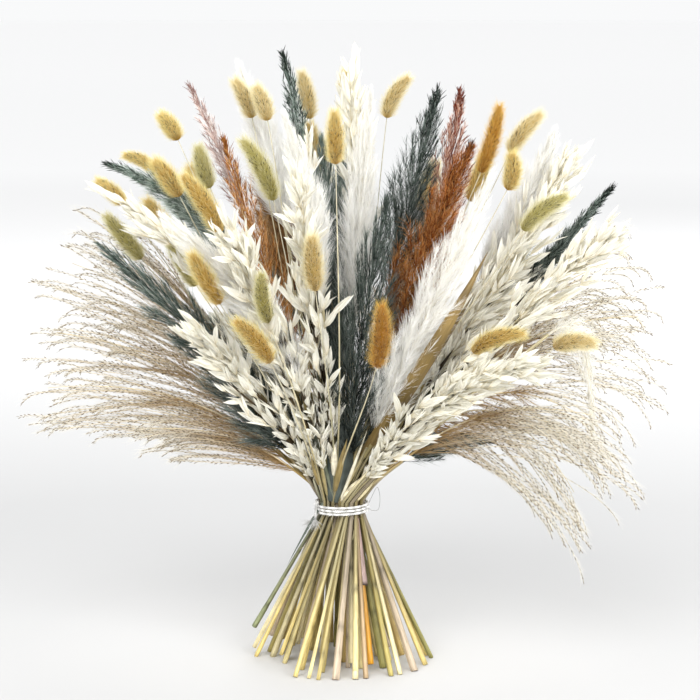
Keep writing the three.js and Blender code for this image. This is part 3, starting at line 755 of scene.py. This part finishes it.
def add_leaves(parts, clump, stem, place):
    """The leaves that are left on a stem, chosen ones first."""
    random = parts.random
    axis = Axis(stem)
    for name, owner, rise, tip, width, bow, tone in CHOSEN_LEAVES:
        if (name, owner) == (clump.name, place):
            root = axis.at(rise - 1)
            control = blend(root, np.array(tip), 0.5) + 0.1 * axis.ahead(rise - 1) + bow * TO_VIEWER
            add_leaf(parts, root, control, np.array(tip), width, colour(tone), TO_VIEWER, 0.3)
    name, tip, width, tone = LOW_LEAF
    if (name, 0) == (clump.name, place):
        control = blend(stem.high, np.array(tip), 0.4) + [0, 0, 3]
        add_leaf(parts, stem.high, control, np.array(tip), width, colour(tone), TO_VIEWER)
    if random.random() < LEAFY_SHARE:
        share = random.uniform(-0.98, -0.75)
        root = axis.at(share)
        away = unit(root * [1, 1, 0] + random.normal(0, 4, 3) * [1, 1, 0])
        length = random.uniform(22, 65)
        tip = root + length * unit(axis.ahead(share) + random.uniform(-0.05, 0.12) * away)
        control = blend(root, tip, 0.5) + 0.05 * length * away
        tone = colour(random.choice(LEAF_TONES))
        add_leaf(parts, root + 0.8 * away, control, tip, random.uniform(2.4, 5), tone, away)


# ---- plumes


def plume_shape(share):
    """How wide a plume is along its length, as a share of its widest."""
    return np.sin(math.pi * np.clip(share, 0, 1) ** 0.62) ** 0.7


GOLDEN_ANGLE = math.pi * (3 - math.sqrt(5))

# Branchlets, hairs on each, the hair's length and width, how wide the hair opens, how much it curls,
# and how many dark spikelets a branchlet has.
PLUME_LOOKS = {
    "silky": (190, 80, 15, 0.26, 0.5, 0.06, 0),
    "curly": (230, 62, 11, 0.24, 1.0, 0.24, 2),
    "tufted": (200, 62, 11, 0.22, 0.7, 0.1, 3),
    "twiggy": (140, 52, 9, 0.18, 0.85, 0.1, 6),
    "wispy": (80, 40, 9, 0.16, 0.8, 0.1, 4),
}
# A plume's look; where its hair starts, where -1 is at the string and 0 at the head's base; how wide the
# hair stands beside the plume's firm part; and how light it is beside its colour, which is its dye's
# unless it is named.
USUAL_TRAITS = {"look": "silky", "start": 0, "full": 1.25, "light": 1}
TRAITS_OF = {
    "slate_1": {"start": -0.45, "full": 1.35, "light": 0.66},
    "slate_2": {"look": "tufted", "light": 1.5},
    "slate_3": {"look": "twiggy", "light": 1.3},
    "slate_4": {"start": -0.5, "light": 0.66},
    "slate_5": {"look": "tufted", "light": 0.5},
    "slate_6": {"start": -0.15, "full": 1.4, "light": 0.42},
    "slate_7": {"look": "twiggy", "full": 0.7},
    "slate_9": {"look": "twiggy"},
    "slate_12": {"look": "tufted"},
    "rust_1": {"look": "curly", "start": -0.3, "light": 0.85},
    "rust_2": {"look": "twiggy", "colour": "copper"},
    "rust_3": {"look": "twiggy", "start": -0.6, "full": 1.5, "colour": "tan"},
    "rust_4": {"look": "curly", "light": 0.6, "colour": "tan"},
    "rose_1": {"look": "wispy"},
    "ivory_1": {"full": 0.75},
    "ivory_2": {"full": 0.85},
    "ivory_7": {"look": "wispy"},
}
# How light dyed hair is along a plume, from its base to its tip.
FADING = ([0, 0.35, 0.75, 1], [0.5, 0.75, 1.15, 1.45])
CLOSE_TO_STRING = 45  # height over which a plume opens to its width
BRANCH_LEAN = math.radians(23)  # of a branchlet that reaches the plume's edge
HAIR_SINK = np.array([0, 0, 0.07])  # how far a hair hangs, as a share of its length


def add_plume(parts, stem, dye, name):
    """Branchlets that leave the stem all round, each clad in fine hair."""
    random = parts.random
    traits = {**USUAL_TRAITS, "colour": dye, **TRAITS_OF.get(name, {})}
    number, hairs, longest, width, opening, curl, spikelets = PLUME_LOOKS[traits["look"]]
    codes = PLUME_COLOURS[traits["colour"]]
    dark, middle, pale, twig = (traits["light"] * colour(code) for code in codes)
    hair, unevenness = (WHITE_HAIR, 0.03) if dye == "ivory" else (HAIR, 0.16)
    start = traits["start"]
    axis = Axis(stem)
    parts.tubes(axis.at(np.linspace(0, 0.97, 16))[None], np.linspace(1.0, 0.25, 16), 6, twig, STRAW)

    order = np.arange(number)
    root_share = start + (0.95 - start) * ((order + random.uniform(0, 1, number)) / number) ** 1.12
    climb = stem.half / math.tan(BRANCH_LEAN) / stem.reach * random.uniform(0.6, 1.15, number)
    tip_share = root_share + np.minimum(climb, (1 - root_share) * random.uniform(0.5, 1, number))
    angle = GOLDEN_ANGLE * order + random.normal(0, 0.25, number)
    place = (tip_share - start) / (1 - start)
    shape = plume_shape(place)
    spine = axis.at(tip_share)
    clear = spine[:, 2] / CLOSE_TO_STRING
    wide = traits["full"] * stem.half * np.maximum(shape, 0.04)
    wide = wide * np.clip(clear, 0.1, 1) * np.sqrt(random.uniform(0.15, 1, number))
    root = axis.at(root_share)
    end = spine + axis.out(tip_share, angle) * wide[:, None]
    elbow = blend(root, end, 0.55) + axis.out(root_share, angle) * (0.16 * wide)[:, None]
    shares = np.linspace(0, 1, 6)
    branches = bezier([root[:, None], elbow[:, None], end[:, None]], np.tile(shares, (number, 1)))
    parts.ribbons(branches, np.linspace(0.5, 0.2, 6), blend(twig, middle, shares * 0.6), hair)

    owner = order.repeat(hairs)
    owner = owner[random.uniform(0, 1, len(owner)) < 0.25 + 0.75 * shape[owner]]
    share = random.uniform(0.03, 1, len(owner)) ** 0.75
    roots = bezier([root[owner], elbow[owner], end[owner]], share)
    ahead = unit(blend(elbow[owner] - root[owner], end[owner] - elbow[owner], share))
    taper = 0.25 + 0.75 * (shape * np.clip(clear, 0.4, 1))[owner]
    directions = spread(ahead, opening * taper * random.uniform(0.1, 1.2, len(owner)), random)
    lengths = longest * random.uniform(0.45, 1.15, len(owner)) * taper
    tuft = random.normal(0, curl, (number, 3))[owner]
    bend = 0.16 * axis.ahead(tip_share[owner]) + tuft + random.normal(0, curl, (len(owner), 3)) - HAIR_SINK
    tone = random.normal(1, unevenness, (number, 1, 1))[owner]
    tone = tone * random.normal(1, 0.7 * unevenness, (len(owner), 1, 1))
    if dye != "ivory":
        tone = tone * np.interp(place[owner], *FADING)[:, None, None]
    far_out = np.linalg.norm(roots - spine[owner], axis=1) / stem.half
    depth = (0.15 * share + 0.25 * np.clip(far_out, 0, 1) ** 1.5)[:, None] + [0, 0.2, 0.45, 0.6]
    tints = three_tones(dark, middle, pale, depth) * tone
    parts.hairs(roots, directions, lengths, bend, width * np.array([1, 1, 0.7, 0.25]), tints, hair)

    if spikelets:
        owner = order.repeat(spikelets)
        roots = bezier([root[owner], elbow[owner], end[owner]], random.uniform(0.35, 1, len(owner)))
        ahead = unit(end[owner] - elbow[owner])
        directions = spread(ahead, random.uniform(0.2, 0.6, len(owner)), random)
        lengths = random.uniform(4, 7.5, len(owner))
        tints = twig * random.uniform(0.55, 1.3, (len(owner), 1, 1))
        widths = 0.7 * np.array([0.35, 1, 0.7, 0.15])
        parts.hairs(roots, directions, lengths, np.zeros((len(owner), 3)), widths, tints, hair)


# ---- bunny tails

# Each tone of bunny tail: its husks, the middle of its awns and their tips.
TAIL_TONES = {
    "gold": ("#523404", "#cda236", "#eee09e"),
    "dark": ("#472600", "#c08404", "#e2be62"),
    "pale": ("#7a5c20", "#d8ba66", "#f0e6bc"),
    "green": ("#524c16", "#b8ab4c", "#e2dcac"),
}
# Group and place in it of the heads that aren't gold.
ODD_TAILS = {
    "pale": [(1, 0), (1, 1), (7, 1), (8, 1), (9, 0), (9, 1), (9, 2), (10, 1), (12, 1)],
    "green": [(3, 1), (4, 1), (5, 0), (6, 0), (11, 1), (14, 0)],
    "dark": [(7, 0), (10, 0)],
}
TONE_OF_TAIL = {head: tone for tone, heads in ODD_TAILS.items() for head in heads}
TAIL_CORE = 0.44  # half width of a head's core, as a share of the head's own
AWNS = 3200
HALO = 3200  # longer and paler awns
SPECKS = 150


def tail_shape(share):
    return np.sin(math.pi * (0.06 + 0.94 * np.clip(share, 0, 1))) ** 0.6


def add_tail(parts, stem, tone):
    """A bunny tail: a core of small husks under a dense coat of fine awns that lean towards the tip, a
    halo of longer and paler ones, and the dark points of the husks between them."""
    random = parts.random
    axis = Axis(stem)
    husk, middle, pale = (colour(code) for code in TAIL_TONES[tone])
    shares = np.linspace(0, 0.98, 16)
    tints = middle * random.uniform(0.6, 0.9, (1, 16, 10, 1))
    parts.tubes(axis.at(shares)[None], stem.half * TAIL_CORE * tail_shape(shares), 10, tints, AWN)

    number = AWNS + HALO
    halo = np.arange(number) >= AWNS
    share = 1 - random.uniform(0, 1, number) ** 0.9
    out = axis.out(share, random.uniform(0, 2 * math.pi, number))
    ahead = axis.ahead(share)
    roots = axis.at(0.97 * share) + out * (stem.half * (TAIL_CORE - 0.06) * tail_shape(share))[:, None]
    directions = turned(ahead, out, np.radians(64 - 36 * share) * random.uniform(0.7, 1.25, number))
    long = random.uniform(0.55, 0.95, number)
    lengths = stem.half * np.where(halo, long, random.uniform(0.16, 0.34, number))
    bend = 0.16 * ahead + random.normal(0, 0.1, (number, 3))
    depth = np.array([0, 0.3, 0.6, 0.85]) * random.uniform(0.7, 1.1, (number, 1)) + 0.45 * halo[:, None]
    tints = three_tones(0.5 * (husk + middle), middle, pale, np.minimum(depth, 1))
    tints = tints * random.normal(1, 0.05, (number, 1, 1))
    widths = np.where(halo, 0.1, 0.2)[:, None] * np.array([1, 1, 0.75, 0.3])
    parts.hairs(roots, directions, lengths, bend, widths, tints, AWN)

    share = random.uniform(0.08, 0.9, SPECKS)
    out = axis.out(share, random.uniform(0, 2 * math.pi, SPECKS))
    roots = axis.at(share) + out * (stem.half * (TAIL_CORE + 0.1) * tail_shape(share))[:, None]
    directions = unit(axis.ahead(share) + 0.5 * out)
    lengths = random.uniform(1.6, 3, SPECKS)
    tints = husk * random.uniform(0.3, 1, (SPECKS, 1, 1))
    parts.hairs(roots, directions, lengths, -0.1 * out, 0.6 * np.array([0.5, 1, 0.8, 0.15]), tints, AWN)


# ---- oats

OAT_WHITE = colour("#fdfbf1")
OAT_CREAM = colour("#f1e6c8")
OAT_STALK = colour("#e2d8b9")
# A spray's branchlets start this far before its head, where -1 is at the string.
OATS_START = -0.62
OATS_STARTS = {"oats_5": -0.1, "oats_10": 0}
SPARSE_OATS = {"oats_10": 0.45}  # how many branchlets it has beside the others
LONGEST_TWIG = 46
HUSKS_PER_TWIG = 5
# How full a spray is along its way, and how large its spikelets are.
SPRAY_FULLNESS = ([OATS_START, 0, 0.3, 1], [0.25, 0.8, 1.1, 0.4])
SPIKELET_SIZES = ([OATS_START, 0], [0.8, 1])
# A spikelet's husks: the side that each leans to, its width beside its length, and its length beside
# the spikelet's.
HUSK_ROWS = [(1, 0.23, 1.0), (-1, 0.2, 0.92), (0, 0.12, 0.85)]
# Painted shade: the dark blades under a spray's husks, their tones and how many each spray has.
SHADE_BLADE_TONES = ["#2c2214", "#3a2e1a", "#2b2f22", "#4a3a1e", "#5e5433"]
SHADE_BLADES = 64
SHADE_BLADES_OF = {"oats_2": 84, "oats_3": 84, "oats_4": 76, "oats_6": 30, "oats_7": 26, "oats_8": 40}


def add_husks(parts, roots, directions, lengths):
    """Spikelets of papery husks: two outer ones that part like a beak, and a slim one between."""
    random = parts.random
    number = len(roots)
    aside = unit(np.cross(directions, random.normal(size=directions.shape)))
    profile = np.sin(math.pi * np.linspace(0, 1, 6) ** 0.75) ** 0.8 + 0.05
    profile[-1] = 0.02
    for side, width, part in HUSK_ROWS:
        line = turned(directions, aside, side * random.uniform(0.04, 0.2, number))
        curl = aside * (0.16 * side * random.uniform(-0.6, 1, number))[:, None]
        curves = bent_strands(roots, line, lengths * part, -curl, 6)
        tints = blend(OAT_CREAM, OAT_WHITE, np.array([0.1, 0.6, 0.9, 1, 1, 0.8]))
        tints = tints * random.uniform(0.9, 1.01, (number, 1, 1))
        widths = (lengths * width)[:, None] * profile
        parts.blades(curves, widths, unit(np.cross(aside, line)), 0.5 * (side or 1), tints, HUSK)


def add_oats(parts, stem, name):
    """A loose spray: thread-like branchlets all round, each with a few spikelets that point ahead."""
    random = parts.random
    axis = Axis(stem)
    start = OATS_STARTS.get(name, OATS_START)
    line = axis.at(np.linspace(0, 0.98, 22))
    line[1:] += np.cumsum(random.normal(0, 0.12, (21, 3)), axis=0)
    parts.tubes(line[None], np.linspace(0.75, 0.3, 22), 6, OAT_STALK, HUSK)

    number = round(2.8 * stem.half * (1 - 0.6 * start) * SPARSE_OATS.get(name, 1))
    order = np.arange(number)
    share = start + (0.97 - start) * (order + random.uniform(0, 1, number)) / number
    angle = GOLDEN_ANGLE * order + random.normal(0, 0.4, number)
    opening = random.uniform(0.12, 0.7, number)
    ahead = axis.ahead(share)
    root = axis.at(share)
    directions = turned(ahead, axis.out(share, angle), opening)
    fullness = np.interp(share, *SPRAY_FULLNESS) * random.uniform(0.3, 1, number)
    lengths = np.minimum(stem.half / np.sin(opening) * fullness, LONGEST_TWIG)
    bend = 0.1 * ahead - [0, 0, 0.14] + random.normal(0, 0.07, (number, 3))
    twigs = bent_strands(root, directions, lengths, bend, 7)
    parts.tubes(twigs, np.linspace(0.3, 0.16, 7), 4, OAT_STALK * 0.9, HUSK)

    owner = order.repeat(HUSKS_PER_TWIG)
    place = np.tile(np.linspace(0.2, 1, HUSKS_PER_TWIG), number) + random.uniform(-0.15, 0, len(owner))
    place = place[:, None]
    along = directions[owner] * place + bend[owner] * place**2
    roots = root[owner] + lengths[owner][:, None] * along
    twig = unit(directions[owner] + 2 * bend[owner] * place)
    heading = spread(unit(twig + 1.3 * ahead[owner]), random.uniform(0.05, 0.6, len(owner)), random)
    sizes = 10 + 15 * random.uniform(0, 1, len(owner)) ** 1.3
    add_husks(parts, roots, heading, sizes * np.interp(share[owner], *SPIKELET_SIZES))
    # Painted shade in the gaps under the husks.
    add_shade_blades(parts, axis, start, stem.half, SHADE_BLADES_OF.get(name, SHADE_BLADES))


def add_shade_blades(parts, axis, start, half, count):
    """Painted shade: dark narrow blades that lie along a spray, under its husks, and darken the gaps between
    them.
    """
    random = parts.random
    share = random.uniform(start, 0.4, count)
    ahead = axis.ahead(share)
    out = axis.out(share, random.uniform(0, 2 * math.pi, count))
    reach = half * np.interp(share, [start, 0], [0.08, 0.4])[:, None]
    roots = axis.at(share) + out * reach * random.uniform(0, 1, (count, 1))
    lengths = random.uniform(18, 42, count)
    directions = unit(ahead + out * random.uniform(0, 0.14, (count, 1)))
    lines = bent_strands(roots, directions, lengths, 0.05 * out, 8)
    widths = random.uniform(2, 4.6, (count, 1)) * np.sin(math.pi * np.linspace(0.12, 1, 8))
    tones = np.array([colour(random.choice(SHADE_BLADE_TONES)) for _ in range(count)])[:, None]
    tints = tones * random.uniform(0.8, 1.2, (count, 8, 1))
    parts.blades(lines, widths, np.cross(out, ahead), 0.5, tints, STRAW)


# ---- silver reed

REED_STRAW = colour("#dccca8")
REED_GOLD = colour("#a17a30")
REED_SILK = colour("#fbf7ec")
REED_DARK = colour("#574729")
# How far the branches hang down, and for some fans.
DROOP = 0.7
DROOPS = {"reed_3": 3.4, "reed_4": 1.8, "reed_5": 0.1}
# How soon the silk turns pale along a branch, and for some fans.
SILK_GAIN = 2.4
SILK_GAINS = {"reed_1": 1.1, "reed_2": 1.1}
REED_BRANCHES = 30
REED_STATIONS = 18
REED_SPIKELETS = 44  # on each branch
REED_THREADS = 165  # of silk, on each branch


def reed_branches(random, axis, stem, name):
    """The lines of the branches, which bow under their own weight."""
    number = REED_BRANCHES
    sag = 0.12 * stem.reach
    share = random.uniform(-0.2, 0.4, number)
    angle = GOLDEN_ANGLE * np.arange(number) + random.normal(0, 0.3, number)
    out = axis.out(share, angle) * stem.half
    root = axis.at(share)
    end = blend(root, stem.tip, random.uniform(0.65, 1.0, number))
    end = end + out * random.uniform(0.15, 1, number)[:, None]
    droop = DROOPS.get(name, DROOP)
    end[:, 2] -= sag * droop * random.uniform(0.1, 1, number)
    knee = blend(root, end, 0.45) + 0.25 * out
    knee[:, 2] += sag * min(droop, 1) * random.uniform(0.6, 0.9, number)
    shoulder = blend(root, end, 0.93) + 0.1 * out
    shoulder[:, 2] += sag * min(droop, 1) ** 2 * random.uniform(0.4, 1.5, number)
    table = np.tile(np.linspace(0, 1, REED_STATIONS), (number, 1))
    lines = bezier([control[:, None] for control in (root, knee, shoulder, end)], table)
    sway = np.sin(table * random.uniform(4, 9, (number, 1)) + random.uniform(0, 6, (number, 1)))
    return lines + (sway * table)[..., None] * random.normal(0, 0.6, (number, 1, 3))


def on_lines(lines, owner, place):
    """The points at places along lines, and the way ahead there."""
    stations = lines.shape[1]
    here = place * (stations - 1)
    below = np.minimum(here.astype(int), stations - 2)
    step = lines[owner, below + 1] - lines[owner, below]
    return lines[owner, below] + step * (here - below)[:, None], unit(step)


def add_reed(parts, stem, name):
    """A fan of long fine branches, with dark spikelets on both sides and silk between them."""
    random = parts.random
    axis = Axis(stem)
    stalk = axis.at(np.linspace(0, 0.9, REED_STATIONS))[None]
    parts.tubes(stalk, np.linspace(0.7, 0.2, REED_STATIONS), 6, REED_STRAW, STRAW)
    lines = reed_branches(random, axis, stem, name)
    tints = blend(REED_GOLD, REED_STRAW, np.linspace(0, 2.5, REED_STATIONS).clip(0, 1))
    parts.tubes(lines, np.linspace(0.2, 0.09, REED_STATIONS), 4, tints, REED)

    order = np.arange(REED_BRANCHES)
    owner = order.repeat(REED_SPIKELETS)
    number = len(owner)
    place = np.tile(np.arange(REED_SPIKELETS), REED_BRANCHES) + random.uniform(0, 0.6, number)
    place = 0.1 + 0.9 * place / REED_SPIKELETS
    roots, ahead = on_lines(lines, owner, place)
    flank = unit(np.cross(ahead, random.normal(size=(REED_BRANCHES, 3))[owner]))
    flank = flank * np.where(np.arange(number) % 2, 1, -1)[:, None]
    directions = turned(ahead, flank, random.uniform(0.3, 0.6, number))
    lengths = random.uniform(2.4, 4.0, number)
    tints = REED_DARK * np.interp(place, [0, 1], [0.7, 1.5])[:, None, None]
    tints = tints * random.uniform(0.7, 1.4, (number, 1, 1))
    widths = 0.62 * np.array([0.16, 0.16, 0.6, 1, 0.8, 0.15])
    parts.hairs(roots, directions, lengths, 0.15 * (ahead - directions), widths, tints, REED)

    owner = order.repeat(REED_THREADS)
    number = len(owner)
    place = 0.92 * random.uniform(0, 1, number) ** 1.2
    roots, ahead = on_lines(lines, owner, place)
    directions = spread(ahead, random.uniform(0.05, 0.4, number), random)
    lengths = random.uniform(6, 13, number)
    bend = random.normal(0, 0.08, (number, 3))
    gain = SILK_GAINS.get(name, SILK_GAIN)
    tints = blend(REED_GOLD, REED_SILK, np.minimum(0.1 + gain * place, 1))[:, None]
    tints = tints * random.uniform(0.85, 1.02, (number, 1, 1))
    parts.hairs(roots, directions, lengths, bend, 0.15 * np.array([1, 0.8, 0.3]), tints, WHITE_HAIR)


# ---- the string

STRING_WHITE = colour("#f6f5f2")
PLIES = 3
PLY_RADIUS = 0.5
PLY_OFFSET = 0.46  # from the string's middle to each ply's
LAY = 4.2  # length of string in which a ply goes round once
FUZZ = 900
FRAYED = 130  # threads at each end
# A loop of clear thread at the right.
THREAD_LOOP = np.array([
    (18.9, -3, 1), (21.5, -3, 7), (25.5, -3, 14), (27.5, -3, 7), (26.5, -3, -2), (22, -3, -3), (19, -3, -1)
])
THREAD_RADIUS = 0.16


def beside_waist(degrees, out, z):
    """A point beside the waist: an angle round it, how far out of the wound string, and a height."""
    angle = math.radians(degrees)
    radius = WAIST_RADIUS + GAP + STRING_RADIUS + out
    return np.array([radius * math.cos(angle), radius * math.sin(angle), z])


def string_route():
    """A few turns round the stems, with both ends hanging at the left."""
    steps = STEPS_PER_TURN * STRING_TURNS
    path = [beside_waist(*place) for place in FIRST_END]
    for step in range(steps + 1):
        height = (step / steps - 0.5) * STRING_TURNS * STRING_PITCH
        path.append(beside_waist(STRING_START + 360 * step / STEPS_PER_TURN, 0, height))
    path += [beside_waist(*place) for place in LAST_END]
    return np.array(path)


def smooth(path, per_step):
    """Points along the smooth curve through a path's points."""
    padded = np.concatenate([2 * path[:1] - path[1:2], path, 2 * path[-1:] - path[-2:-1]])
    share = (np.arange(per_step) / per_step)[None, :, None]
    a, b, c, d = (padded[i : len(padded) - 3 + i, None] for i in range(4))
    curve = b + share * (c - a) / 2 + share**2 * (a - 2.5 * b + 2 * c - d / 2)
    curve = curve + share**3 * ((d - a) / 2 + 1.5 * (b - c))
    return np.concatenate([curve.reshape(-1, 3), path[-1:]])


def add_string(parts):
    """Plies twisted round each other, with loose fuzz and two frayed ends."""
    random = parts.random
    route = smooth(string_route(), 10)
    ahead = unit(np.gradient(route, axis=0))
    away = unit(route * [1, 1, 0])
    steps = np.linalg.norm(np.diff(route, axis=0), axis=-1)
    along = np.concatenate([[0], steps.cumsum()])
    turns = 2 * math.pi * (along[None] / LAY + np.arange(PLIES)[:, None] / PLIES)
    lines = route + turned(away, np.cross(ahead, away), turns) * PLY_OFFSET
    # Painted shade: the string is darker in patches along its turns and towards its hanging ends.
    shade_patches = 0.78 + 0.22 * np.sin(along * 0.9 + 1.5 * np.sin(along * 0.23))
    end_shade = np.interp(along, [0, 14, along[-1] - 18, along[-1]], [0.55, 1, 1, 0.5])
    shades = end_shade * shade_patches * random.uniform(0.86, 1, (PLIES, len(route)))
    parts.tubes(lines, PLY_RADIUS, 8, STRING_WHITE * shades[..., None], COTTON)
    parts.tubes(smooth(THREAD_LOOP, 8)[None], THREAD_RADIUS, 6, STRING_WHITE * 0.3, COTTON)

    spot = random.integers(0, len(route), FUZZ)
    directions = unit(random.normal(size=(FUZZ, 3)) + 0.8 * away[spot])
    lengths = random.uniform(1, 2.6, FUZZ)
    bend = random.normal(0, 0.3, (FUZZ, 3))
    parts.hairs(route[spot], directions, lengths, bend, np.full(5, 0.08), STRING_WHITE, COTTON)
    for end, heading in ((route[0], -ahead[0]), (route[-1], ahead[-1])):
        directions = spread(np.tile(heading, (FRAYED, 1)), random.uniform(0, 1.1, FRAYED), random)
        roots = end + random.normal(0, 0.3, (FRAYED, 3))
        lengths = random.uniform(2, 7, FRAYED)
        bend = random.normal(0, 0.25, (FRAYED, 3))
        # The frayed threads are painted grey: painted shade.
        parts.hairs(roots, directions, lengths, bend, np.full(6, 0.14), STRING_WHITE * 0.55, COTTON)


# ---- the pieces

# For each kind of head but the plumes: its pieces' name, its slot and its materials.
KINDS = {
    "bunny": ("bunny_tail_group", "bunny_tail", [STRAW, AWN]),
    "oats": ("oat_spray", "oats", [STRAW, HUSK]),
    "reed": ("reed_fan", "reed", [STRAW, REED, WHITE_HAIR]),
}


def build_bundle():
    clumps = all_clumps()
    for i, clump in enumerate(clumps, 1):
        parts = Parts(seed=i)
        number = clump.name.rsplit("_", 1)[1]
        for k, stem in enumerate(clump.stems):
            lay_stem(clump, stem, draws_from(1000 * i + k))
            add_stem(parts, clump, stem, k)
            add_leaves(parts, clump, stem, k)
            if clump.kind == "plume":
                add_plume(parts, stem, clump.dye, f"{clump.dye}_{number}")
            elif clump.kind == "bunny":
                add_tail(parts, stem, TONE_OF_TAIL.get((int(number), k), "gold"))
            elif clump.kind == "oats":
                add_oats(parts, stem, clump.name)
            else:
                add_reed(parts, stem, clump.name)
        plume = f"{clump.dye}_plume"
        plume_row = (plume, plume, [STRAW, WHITE_HAIR if clump.dye == "ivory" else HAIR])
        name, slot, materials = KINDS.get(clump.kind, plume_row)
        make_piece(f"{name}_{number}", parts, materials, clump.name, slot)

    parts = Parts(seed=len(clumps) + 1)
    add_string(parts)
    make_piece("wound_string", parts, [COTTON], "tie_string", "string")


# ---- floor, light and camera

FLOOR_RADIUS = 30
FLOOR_SIDES = 96
FLOOR_REACH = 12  # metres from the bundle, beyond which the floor's grey stays the same
# The floor's grey at distances in metres from the bundle.
FLOOR_GREYS = [(0, 0.65), (0.1, 0.65), (0.25, 0.57), (0.6, 0.55), (1.5, 0.7), (5, 0.95), (12, 0.98)]
# Each light's place in metres, its width and its power.
LIGHTS = {
    "key": ((-0.9, -2.6, 2.4), 2.4, 74),
    "fill": ((1.6, -2.4, 1.2), 2.4, 66),
    "rim": ((0.6, 2.4, 2.0), 1.8, 26),
}
LIT_POINT = Vector((0, 0, 0.2))
SENSOR_WIDTH = 36


def look_along(thing, direction):
    thing.rotation_euler = Vector(direction).to_track_quat("-Z", "Y").to_euler()


def add_floor():
    """A wide pale floor, greyer round the bundle than far from it."""
    angles = ring_angles(FLOOR_SIDES)
    ring = [(FLOOR_RADIUS * math.cos(angle), FLOOR_RADIUS * math.sin(angle), 0) for angle in angles]
    mesh = bpy.data.meshes.new("floor")
    mesh.from_pydata(ring, [], [list(range(FLOOR_SIDES))])
    floor = add_object("floor", mesh)

    material, skin = add_material("pale_floor")
    place = add_node(material, "TexCoord")
    distance = add_node(material, "VectorMath")
    distance.operation = "LENGTH"
    fill(distance, {0: place.outputs["Object"]})
    share = add_node(material, "MapRange", {"Value": distance.outputs["Value"], "From Max": FLOOR_REACH})
    ramp = add_node(material, "ValToRGB", {"Fac": share.outputs["Result"]})
    greys = ramp.color_ramp.elements
    for metres, _ in FLOOR_GREYS[1:-1]:
        greys.new(metres / FLOOR_REACH)
    for element, (_, grey) in zip(greys, FLOOR_GREYS):
        element.color = (grey, grey, grey, 1)
    fill(skin, {"Roughness": 0.9, "Base Color": ramp.outputs["Color"]})
    mesh.materials.append(material)


def add_lights():
    for name, (place, size, power) in LIGHTS.items():
        data = bpy.data.lights.new(name, "AREA")
        data.shape = "DISK"
        data.size = size
        data.energy = power
        light = add_object(name, data)
        light.location = place
        look_along(light, LIT_POINT - Vector(place))
    world = bpy.data.worlds.new("studio")
    bpy.context.scene.world = world
    world.use_nodes = True
    fill(world.node_tree.nodes["Background"], {"Color": (0.99, 0.995, 1, 1), "Strength": 0.96})


def add_camera():
    target = (np.array(PHOTO_CENTRE) + ORIGIN) * MM
    back = np.array([0, -math.cos(CAMERA_RISE), math.sin(CAMERA_RISE)]) * CAMERA_DISTANCE * MM
    data = bpy.data.cameras.new("camera")
    data.sensor_width = SENSOR_WIDTH
    data.lens = SENSOR_WIDTH * CAMERA_DISTANCE / PHOTO_WIDTH
    camera = add_object("camera", data)
    camera.location = Vector(target + back)
    look_along(camera, -back)
    bpy.context.scene.camera = camera


build_bundle()
add_floor()
add_lights()
add_camera()
bpy.context.scene.view_settings.view_transform = "Standard"
